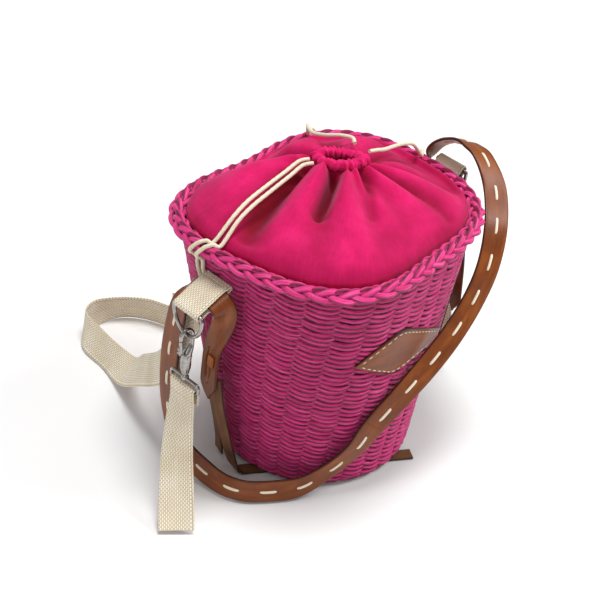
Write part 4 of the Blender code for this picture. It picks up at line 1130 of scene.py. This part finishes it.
# The handle: out of the left loop, down, round the foot, up the front and into the right loop
HANDLE = [
    ((LEFT_SEAT[0], 0.0060, LEFT_SEAT[1]), LEFT_UP),
    ((LEFT_SEAT[0], 0.0115, LEFT_SEAT[1]), LEFT_UP),
    ((LEFT_SEAT[0] - 0.0006, 0.0172, 0.1960), (-0.45, 0.5, 0.8)),
    ((-0.1372, 0.0200, 0.1915), (-0.55, 0.9, 0.3)),
    ((-0.1395, 0.0228, 0.1830), (-0.85, 0.5, 0.1)),
    ((-0.1410, 0.0265, 0.1700), (-1.0, 0.10, 0.0)),
    ((-0.1411, 0.0325, 0.1400), (-1.0, 0.0, 0.0)),
    ((-0.1411, 0.0357, 0.1060), (-1.0, 0.0, 0.0)),
    ((-0.1408, 0.0350, 0.0720), (-1.0, 0.05, 0.05)),
    ((-0.1388, 0.0275, 0.0440), (-1.0, 0.05, 0.15)),
    ((-0.1352, 0.0120, 0.0240), (-1.0, 0.00, 0.30)),
    ((-0.1315, -0.0058, 0.0155), (-0.95, -0.20, 0.25)),
    ((-0.1292, -0.0247, 0.0136), (-0.85, -0.50, 0.15)),
    ((-0.1225, -0.0404, 0.0130), (-0.70, -0.75, 0.08)),
    ((-0.1115, -0.0515, 0.0128), (-0.60, -0.90, 0.05)),
    ((-0.0868, -0.0665, 0.0132), (-0.50, -0.95, 0.05)),
    ((-0.0710, -0.0745, 0.0190), (-0.45, -0.95, -0.15)),
    ((-0.0526, -0.0849, 0.0350), (-0.40, -0.95, -0.35)),
    ((-0.0400, -0.0940, 0.0535), (-0.35, -1.00, -0.25)),
    (HANDLE_JOIN, (-0.42, -1.00, 0.08)),
    ((-0.0040, -0.1055, 0.1000), (-0.40, -0.95, 0.22)),
    ((0.0218, -0.1060, 0.1180), (-0.35, -0.88, 0.36)),
    ((0.0504, -0.1039, 0.1370), (-0.30, -0.84, 0.36)),
    ((0.0788, -0.0988, 0.1590), (-0.22, -0.80, 0.36)),
    ((0.0976, -0.0945, 0.1860), (-0.21, -0.70, 0.43)),
    ((0.1166, -0.0811, 0.2130), (-0.17, -0.53, 0.61)),
    ((0.1377, -0.0567, 0.2320), (-0.09, -0.38, 0.74)),
    ((0.1445, -0.0340, 0.2490), (0.12, -0.24, 0.87)),
    ((0.1465, -0.0180, 0.2522), (0.28, -0.05, 0.93)),
    ((0.1468, -0.0080, 0.2518), (0.42, 0.05, 0.88)),
    ((0.1470, 0.0030, 0.2475), (0.45, 0.10, 0.85)),
    ((0.1470, 0.0110, 0.2440), (0.40, 0.50, 0.80)),
    ((0.1455, 0.0195, 0.2370), (0.30, 1.00, 0.50)),
    ((0.1415, 0.0232, 0.2290), (-0.10, 1.00, 0.00)),
    ((0.1362, 0.0215, 0.2205), (-0.65, 0.45, 0.50)),
    ((RIGHT_SEAT[0], 0.0150, RIGHT_SEAT[1]), RIGHT_UP),
    ((RIGHT_SEAT[0], 0.0060, RIGHT_SEAT[1]), RIGHT_UP),
]


def make_handle():
    """One stitched strap in two halves: each bends where it enters its loop."""
    track = strap_track(HANDLE)
    count = len(track.centres)
    place = np.argmin(np.linalg.norm(track.centres - np.array(HANDLE_JOIN), axis=1))
    reach = track.reach
    narrow = 1.0 - 0.14 * (1.0 - smooth_step(0.0, 0.045, reach))
    narrow = narrow - 0.22 * smooth_step(track.length - 0.075, track.length - 0.035, reach)
    halves = (("handle_left_half", 0, place + 1,
               (-0.1362, 0.0165, 0.1950), (-0.1410, 0.0290, 0.1560)),
              ("handle_right_half", place, count,
               (0.1470, 0.0020, 0.2480), (0.1445, -0.0340, 0.2490)))
    for name, first, last, start, end in halves:
        part = track.part(first, last)
        shape = Shape()
        shape.band(part, STRAP_WIDTH, STRAP_THICKNESS, 10, shares=narrow[first:last])
        back = Track(part.centres, -part.face)
        back.reach = part.reach
        lowest, highest = part.reach[0] + STITCH_MARGIN, part.reach[-1] - STITCH_MARGIN
        for side, shift in ((part, 0.0), (back, 0.5)):
            for k in range(1, int(track.length / STITCH_PITCH)):
                begin = STITCH_START + (k + shift) * STITCH_PITCH
                if lowest <= begin and begin + STITCH_LENGTH <= highest:
                    shape.stitch(side, begin, STITCH_LENGTH, STRAP_THICKNESS / 2.0, STITCH_RADIUS)
        half = shape.made(name, [LEATHER, THREAD])
        if first == 0:
            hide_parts("handle_strap")
        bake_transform(half)


def make_tab(side, route):
    """A strap end that hangs from its loop, with a buttoned slit, a tongue and a stud mark."""
    track = strap_track(route, 0.0009)
    tip = smooth_step(0.0, 0.016, track.reach) ** 0.75
    shares = 0.10 + 0.90 * tip
    if side == "right":
        shares = shares * (1.0 - 0.22 * smooth_step(0.085, 0.105, track.reach))
    shape = Shape()
    shape.band(track, TAB_WIDTH, TAB_THICKNESS, 10, shares=shares)
    lift = TAB_THICKNESS / 2.0
    slit = np.linspace(0.0, 1.0, 20)
    for aside, radius in ((-0.0030, 0.0014), (0.0008, 0.0007)):
        bow = aside - 0.0016 * np.sin(np.pi * slit) * (1.0 if aside < 0 else -0.4)
        reach = 0.021 + slit * 0.032
        radii = radius * (0.35 + 0.65 * np.sin(np.pi * slit) ** 0.5)
        shape.tube(track.beside(reach, bow, lift + 0.0001), radii, 8)
    stud = track.beside(np.array([0.0152, 0.0160, 0.0168]), 0.0, lift)
    shape.tube(stud, np.array((0.0004, 0.0008, 0.0004)), 8, flat=0.6)
    tab = shape.made("strap_tab_%s_leather" % side, [LEATHER])
    placed(tab, "bag", "tan_leather", "strap_tab_" + side)
    tongue = Shape()
    ends = np.linspace(-1.0, 1.0, 14)
    line = track.beside(np.linspace(0.0355, 0.0465, 14), 0.0022, lift + 0.0006)
    tongue.band(line, 0.0078, 0.0015, 6, shares=1.0 - 0.12 * np.abs(ends) ** 6)
    piece = tongue.made("tab_tongue_%s_leather" % side, [TONGUE])
    placed(piece, "bag", "tan_leather", "tab_tongue_" + side)


# The narrow tails: (place, normal) pairs
TAILS = {
    "side_tail_left": [
        ((-0.1225, 0.0060, 0.1200), (-1.0, 0.0, 0.1)),
        ((-0.1165, 0.0090, 0.0900), (-1.0, 0.1, 0.1)),
        ((-0.1055, 0.0135, 0.0520), (-1.0, 0.2, 0.2)),
        ((-0.0960, 0.0180, 0.0200), (-1.0, 0.2, 0.2)),
        ((-0.0925, 0.0202, 0.0035), (-1.0, 0.2, 0.0)),
    ],
    "long_tail_left": [
        ((-0.1257, -0.0065, 0.1120), (-1.0, -0.1, 0.0)),
        ((-0.1205, -0.0070, 0.0800), (-1.0, -0.1, 0.1)),
        ((-0.1120, -0.0078, 0.0460), (-1.0, -0.1, 0.2)),
        ((-0.1035, -0.0088, 0.0160), (-0.8, 0.0, 0.6)),
        ((-0.0975, -0.0103, 0.0036), (-0.5, 0.2, 0.9)),
        (tuple(LONG_TAIL_ENTRY), (0.0, 0.0, 1.0)),
        (tuple(LONG_TAIL_ENTRY * 0.67 + LONG_TAIL_END * 0.33), (0.0, 0.0, 1.0)),
        (tuple(LONG_TAIL_ENTRY * 0.33 + LONG_TAIL_END * 0.67), (0.0, 0.0, 1.0)),
        (tuple(LONG_TAIL_END), (0.0, 0.0, 1.0)),
    ],
    "side_tail_right": [
        ((0.1262, -0.0330, 0.1240), (1.0, -0.3, 0.1)),
        ((0.1150, -0.0345, 0.0800), (1.0, -0.3, 0.1)),
        ((0.1040, -0.0350, 0.0400), (1.0, -0.3, 0.2)),
        ((0.0945, -0.0340, 0.0080), (1.0, -0.3, 0.1)),
        ((0.0935, -0.0340, 0.0030), (1.0, -0.3, 0.0)),
    ],
}


def make_tails():
    for name, route in TAILS.items():
        shape = Shape()
        shape.band(strap_track(route), TAIL_WIDTH, TAIL_THICKNESS, 6)
        placed(shape.made(name + "_leather", [FLESH]), "bag", "flesh_side_leather", name)


# ---------------------------------------------------------------- webbing

LOOP_THICKNESS = 0.0013
HANGING_THICKNESS = 0.0014
SEAM_STITCHES = 8
SEAM_SPACING = 0.0034
SEAM_LENGTH = 0.0022
SEAM_RADIUS = 0.00035


def woven_relief(reach, aside):
    """The raised yarns of the webbing, each next row shifted by half a float."""
    row = np.floor(aside / YARN_ROW)
    bump = np.abs(np.sin(np.pi * aside / YARN_ROW)) ** 0.7
    beads = np.abs(np.sin(np.pi * (reach / YARN_FLOAT + 0.5 * np.mod(row, 2.0)))) ** 0.7
    return 0.00028 * bump * (0.35 + 0.65 * beads) - 0.00012


def sew_across(shape, track, reach, lift, sideways=None):
    """A seam of short stitches across the webbing, this far along it."""
    reach = np.array([reach])
    for k in range(SEAM_STITCHES):
        across = -0.0126 + k * SEAM_SPACING
        middle = track.at(reach, across)[0]
        normal = unit(track.at(reach, across, 1.0)[0] - middle)
        way = unit(track.at(reach, across + 0.001)[0] - middle) if sideways is None else sideways
        line = np.linspace(0.0, SEAM_LENGTH, 5)[:, None] * np.array(way)
        shape.tube(plain_track(middle + normal * lift + line, normal), SEAM_RADIUS, 6, 1)


def make_loop(side, root, degrees, length):
    """Folded webbing: out over the strap, round the ring's bar and back, sewn across."""
    angle = math.radians(degrees)

    def spot(along, across):
        x = root[0] + along * math.cos(angle) - across * math.sin(angle)
        z = root[1] + along * math.sin(angle) + across * math.cos(angle)
        return (x, 0.0, z)

    def direction(turn):
        return (math.cos(angle + turn), 0.0, math.sin(angle + turn))

    half, far = 0.0028, length - 0.0035
    quarter = math.pi / 2.0
    side_line = ((0.0005, 0.0010), (0.0045, 0.0017), (0.0100, half), (far - 0.006, half))
    route = [(spot(along, -out), direction(-quarter)) for along, out in side_line]
    for i in range(7):
        turn = -quarter + math.pi * i / 6
        route.append((spot(far + half * math.cos(turn), half * math.sin(turn)), direction(turn)))
    route += [(spot(along, out), direction(quarter)) for along, out in side_line[::-1]]
    track = strap_track(route, 0.0007)
    shape = Shape()
    shape.band(track, WEBBING_WIDTH, LOOP_THICKNESS, 44, relief=woven_relief)
    for start in (0.0040, track.length - 0.0040):
        sew_across(shape, track, start, 0.00085, (0.0, 1.0, 0.0))
    loop = shape.made("loop_%s_webbing" % side, [WEBBING, THREAD])
    placed(loop, "bag", "cream_webbing", "webbing_loop_" + side)


# Each loose end below its eye: (outward, y, z, and the face's outward, y and z)
HANGING_TAILS = {
    "left": [
        (0.1556, -0.0003, 0.0980, 1.00, -0.02, 0.1), (0.1605, -0.0040, 0.0800, 0.98, -0.15, 0.2),
        (0.1690, -0.0130, 0.0540, 0.90, -0.35, 0.3), (0.1805, -0.0285, 0.0250, 0.75, -0.60, 0.3),
        (0.1900, -0.0415, 0.0040, 0.60, -0.80, 0.2),
    ],
    "right": [
        (0.1485, 0.0000, 0.1420, 1.0, 0.0, 0.1), (0.1515, 0.0010, 0.1200, 1.0, 0.0, 0.1),
        (0.1570, 0.0020, 0.0900, 1.0, 0.0, 0.15), (0.1620, 0.0030, 0.0600, 1.0, 0.0, 0.1),
        (0.1640, 0.0030, 0.0330, 1.0, 0.0, 0.05),
    ],
}


def make_hanging_tail(side, x, bar_z):
    """The strap's loose end, folded over the eye's bar, sewn below it and hanging down."""
    outward = math.copysign(1.0, x)
    reach = EYE_BAR + LOOP_THICKNESS
    route = [((x - outward * reach, 0.0, bar_z - 0.0140), (-outward, 0.0, 0.0))]
    for i in range(5):
        turn = math.pi * i / 4
        normal = np.array((-outward * math.cos(turn), 0.0, math.sin(turn)))
        bulge = 1.0 + 0.12 * math.sin(turn * 2.0) ** 2
        place = np.array((x, 0.0, bar_z)) + normal * reach * bulge
        route.append((tuple(place), tuple(normal)))
    for across, y, z, nx, ny, nz in HANGING_TAILS[side]:
        route.append(((outward * across, y, z), (outward * nx, ny, nz)))
    track = strap_track(route, 0.0007)
    shape = Shape()
    shape.band(track, WEBBING_WIDTH, HANGING_THICKNESS, 44, relief=woven_relief)
    sew_across(shape, track, 0.0335, 0.0009)
    piece = shape.made("tail_%s_webbing" % side, [WEBBING, THREAD])
    placed(piece, side + "_tail", "cream_webbing", "webbing_tail_" + side)


# The crossbody strap: (place, direction across the webbing)
CROSSBODY = [
    ((-0.1310, 0.0320, 0.1700), (0.00, 1.00, 0.00)),
    ((-0.1312, 0.0320, 0.1450), (0.00, 1.00, 0.00)),
    ((-0.1325, 0.0380, 0.1130), (0.00, 0.95, 0.30)),
    ((-0.1295, 0.0620, 0.0835), (0.35, 0.55, 0.76)),
    ((-0.1165, 0.1040, 0.0500), (0.30, -0.10, 0.95)),
    ((-0.1015, 0.1430, 0.0195), (0.25, -0.60, 0.75)),
    ((-0.0967, 0.1765, 0.0158), (0.36, -0.13, 0.92)),
    ((-0.0940, 0.2070, 0.0156), (0.45, 0.09, 0.88)),
    ((-0.0905, 0.2225, 0.0158), (0.28, 0.07, 0.95)),
    ((-0.0830, 0.2335, 0.0158), (0.10, 0.03, 0.99)),
    ((-0.0680, 0.2395, 0.0158), (-0.15, 0.05, 0.98)),
    ((-0.0503, 0.2376, 0.0158), (-0.24, -0.09, 0.97)),
    ((-0.0346, 0.2300, 0.0158), (-0.22, -0.16, 0.97)),
    ((-0.0200, 0.2137, 0.0158), (-0.15, -0.15, 0.98)),
    ((-0.0105, 0.1920, 0.0158), (-0.15, -0.10, 0.98)),
    ((0.0050, 0.1730, 0.0158), (-0.05, -0.10, 0.99)),
    ((0.0350, 0.1590, 0.0158), (0.00, 0.00, 1.00)),
    ((0.0700, 0.1530, 0.0158), (0.00, 0.00, 1.00)),
    ((0.1050, 0.1440, 0.0158), (0.00, 0.00, 1.00)),
    ((0.1350, 0.1230, 0.0162), (0.00, 0.00, 1.00)),
    ((0.1510, 0.0950, 0.0230), (0.00, 0.20, 0.98)),
    ((0.1520, 0.0660, 0.0400), (0.00, 0.50, 0.87)),
    ((0.1450, 0.0380, 0.0680), (0.00, 0.80, 0.60)),
    ((0.1405, 0.0140, 0.1020), (0.00, 0.95, 0.31)),
    ((0.1405, 0.0040, 0.1280), (0.00, 1.00, 0.00)),
]


def make_crossbody():
    """The strap that lies on the ground behind the basket and climbs it at both ends."""
    places = np.array([place for place, _ in CROSSBODY])
    along = np.gradient(places, axis=0)
    normals = unit(np.cross(along, [across for _, across in CROSSBODY]))
    track = strap_track(list(zip(places, normals)), 0.0009)
    shape = Shape()
    shape.band(track, WEBBING_WIDTH, HANGING_THICKNESS, 36, relief=woven_relief)
    placed(shape.made("crossbody_webbing", [WEBBING]), "bag", "cream_webbing", "crossbody_strap")


# ---------------------------------------------------------------- nickel hardware

def nickel(shape, kind, side, body, node):
    """The shape as a nickel piece on one of this side's bodies."""
    piece = shape.made("%s_%s_nickel" % (kind, side), [NICKEL])
    placed(piece, side + "_" + body, "polished_nickel", node + "_" + side)


def make_ring(side, x, bar_z):
    """The D-ring, a bent wire closed at its bar."""
    half, corner = 0.0175, 0.0040
    turn = np.linspace(0.0, np.pi, 41)
    drop = corner + (RING_DEPTH - corner) * np.sin(turn)
    bow = np.stack([np.full(41, x), half * np.cos(turn), bar_z - drop], axis=-1)
    quarter = np.linspace(0.0, np.pi / 2.0, 7)[1:-1]
    fore = [(x, -half + corner - corner * math.sin(q), bar_z - corner + corner * math.cos(q))
            for q in quarter[::-1]]
    rear = [(x, half - corner + corner * math.sin(q), bar_z - corner + corner * math.cos(q))
            for q in quarter]
    bar = [(x, y, bar_z) for y in np.linspace(-half + corner, half - corner, 15)]
    points = np.array(fore + bar + rear + bow.tolist() + [fore[0]])
    shape = Shape()
    shape.tube(closed_track(points, (1.0, 0.0, 0.0)), RING_WIRE, 16, caps=False)
    nickel(shape, "ring", side, "ring", "d_ring")


def make_hook(side, x, bar_z):
    """The snap hook: a forged body that narrows into the bow, with a frame on each flank."""
    inward = -math.copysign(1.0, x)
    bow_z = bar_z - RING_DEPTH
    foot = bow_z - HOOK_LENGTH
    bend, rod = 0.0058, 0.0019
    spine = [(0.0, foot, 0.0032), (0.0, foot + 0.0060, 0.0045), (0.0, foot + 0.0110, 0.0048),
             (0.0006, foot + 0.0160, 0.0046), (0.0016, foot + 0.0200, 0.0041),
             (0.0040, foot + 0.0245, 0.0031), (bend, foot + 0.0285, rod)]
    centre_z = bow_z + RING_WIRE + rod + 0.0004 - bend
    for i in range(9):
        angle = math.pi * i / 8
        spine.append((bend * math.cos(angle), centre_z + bend * math.sin(angle), rod))
    spine.append((-bend, bow_z - 0.0040, rod * 0.95))
    line = curve_through(np.array(spine), 6)
    points = np.stack([x + inward * line[:, 0], np.zeros(len(line)), line[:, 1]], axis=-1)
    shape = Shape()
    shape.tube(plain_track(points, (0.0, -1.0, 0.0)), line[:, 2], 18, flat=0.92)
    corners = ((-0.0016, 0.0130), (0.0020, 0.0130), (0.0022, 0.0180), (-0.0012, 0.0180),
               (-0.0016, 0.0130))
    ring = curve_through(np.array([(a, b, 0.0) for a, b in corners]), 6)
    for flank in (-1.0, 1.0):
        depth = np.full(len(ring), flank * 0.00395)
        place = np.stack([x + inward * ring[:, 0], depth, foot + ring[:, 1]], axis=-1)
        shape.tube(plain_track(place, (0.0, flank, 0.0)), 0.00035, 8)
    collar_z = np.array((foot - 0.0002, foot + 0.0006, foot + 0.0018, foot + 0.0030))
    collar = np.stack([np.full(4, x), np.zeros(4), collar_z], axis=-1)
    shape.tube(cord_track(collar), np.array((0.0026, 0.0033, 0.0034, 0.0028)), 18)
    nickel(shape, "hook", side, "hook", "snap_hook")

    gate_x = x - inward * (bend + 0.0002)
    pin_z = bow_z - 0.0172
    gate = Shape()
    heights = np.array((pin_z - 0.0012, pin_z, pin_z + 0.0016, pin_z + 0.0050, pin_z + 0.0090,
                        bow_z - 0.0046))
    sizes = np.array((0.0009, 0.0016, 0.0019, 0.0017, 0.0015, 0.0012))
    fine = curve_through(np.stack([heights, sizes, np.zeros(6)], axis=-1), 6)
    line = np.stack([np.full(len(fine), gate_x), np.zeros(len(fine)), fine[:, 0]], axis=-1)
    gate.tube(plain_track(line, (0.0, -1.0, 0.0)), fine[:, 1], 14, flat=1.15)
    thumb = [(gate_x - inward * out, 0.0, pin_z + up)
             for out, up in ((0.0010, 0.0045), (0.0022, 0.0060), (0.0010, 0.0076))]
    gate.tube(plain_track(curve_through(thumb, 5), (0.0, -1.0, 0.0)), 0.0010, 10)
    nickel(gate, "gate", side, "gate", "hook_gate")

    pin = Shape()
    width = np.array((-0.0034, -0.0032, -0.0028, 0.0028, 0.0032, 0.0034))
    line = np.stack([np.full(6, gate_x), width, np.full(6, pin_z)], axis=-1)
    sizes = np.array((0.0007, 0.0012, 0.0008, 0.0008, 0.0012, 0.0007))
    pin.tube(plain_track(line, (1.0, 0.0, 0.0)), sizes, 12)
    nickel(pin, "pin", side, "hook", "gate_pin")


def make_eye(side, x, bar_z):
    """The swivel eye, a wire loop with a boss round its post; returns its lower bar's height."""
    foot = bar_z - RING_DEPTH - HOOK_LENGTH
    top = foot - 0.0040
    half, corner, height = 0.0174, 0.0036, 0.0080
    low = top - height
    outline = []
    near, far = half - corner, -half + corner
    corners = ((near, top - corner, 0.0), (far, top - corner, 90.0),
               (far, low + corner, 180.0), (near, low + corner, 270.0))
    for middle_y, middle_z, first in corners:
        for k in range(7):
            angle = math.radians(first + 15.0 * k)
            outline.append((x, middle_y + corner * math.cos(angle),
                            middle_z + corner * math.sin(angle)))
    outline.append(outline[0])
    shape = Shape()
    shape.tube(closed_track(np.array(outline), (1.0, 0.0, 0.0)), EYE_BAR, 14, caps=False)
    levels = np.array((top - 0.0018, top - 0.0010, top + 0.0010, top + 0.0022, foot - 0.0008,
                       foot - 0.0004))
    sizes = np.array((0.0022, 0.0032, 0.0034, 0.0024, 0.0021, 0.0018))
    post = np.stack([np.full(6, x), np.zeros(6), levels], axis=-1)
    shape.tube(cord_track(post), sizes, 18)
    nickel(shape, "eye", side, "eye", "swivel_eye")
    return low


# ---------------------------------------------------------------- everything

set_camera()
cord_lines = make_cords()
set_stage()
make_weave()
make_wall_backing()
make_bottom()
make_rim()
collar_piece = make_collar(cord_lines)
make_hem()
lining_piece = make_lining()
make_leaf()
make_handle()
make_tab("left", LEFT_TAB)
make_tab("right", RIGHT_TAB)
make_tails()
make_loop("left", (-0.1208, 0.2050), 207.0, 0.0400)
make_loop("right", (0.1232, 0.2056), 45.0, 0.0340)
for side, (x, bar_z) in (("left", LEFT_BAR), ("right", RIGHT_BAR)):
    make_ring(side, x, bar_z)
    make_hook(side, x, bar_z)
    eye_bar_z = make_eye(side, x, bar_z)
    make_hanging_tail(side, x, eye_bar_z)
make_crossbody()
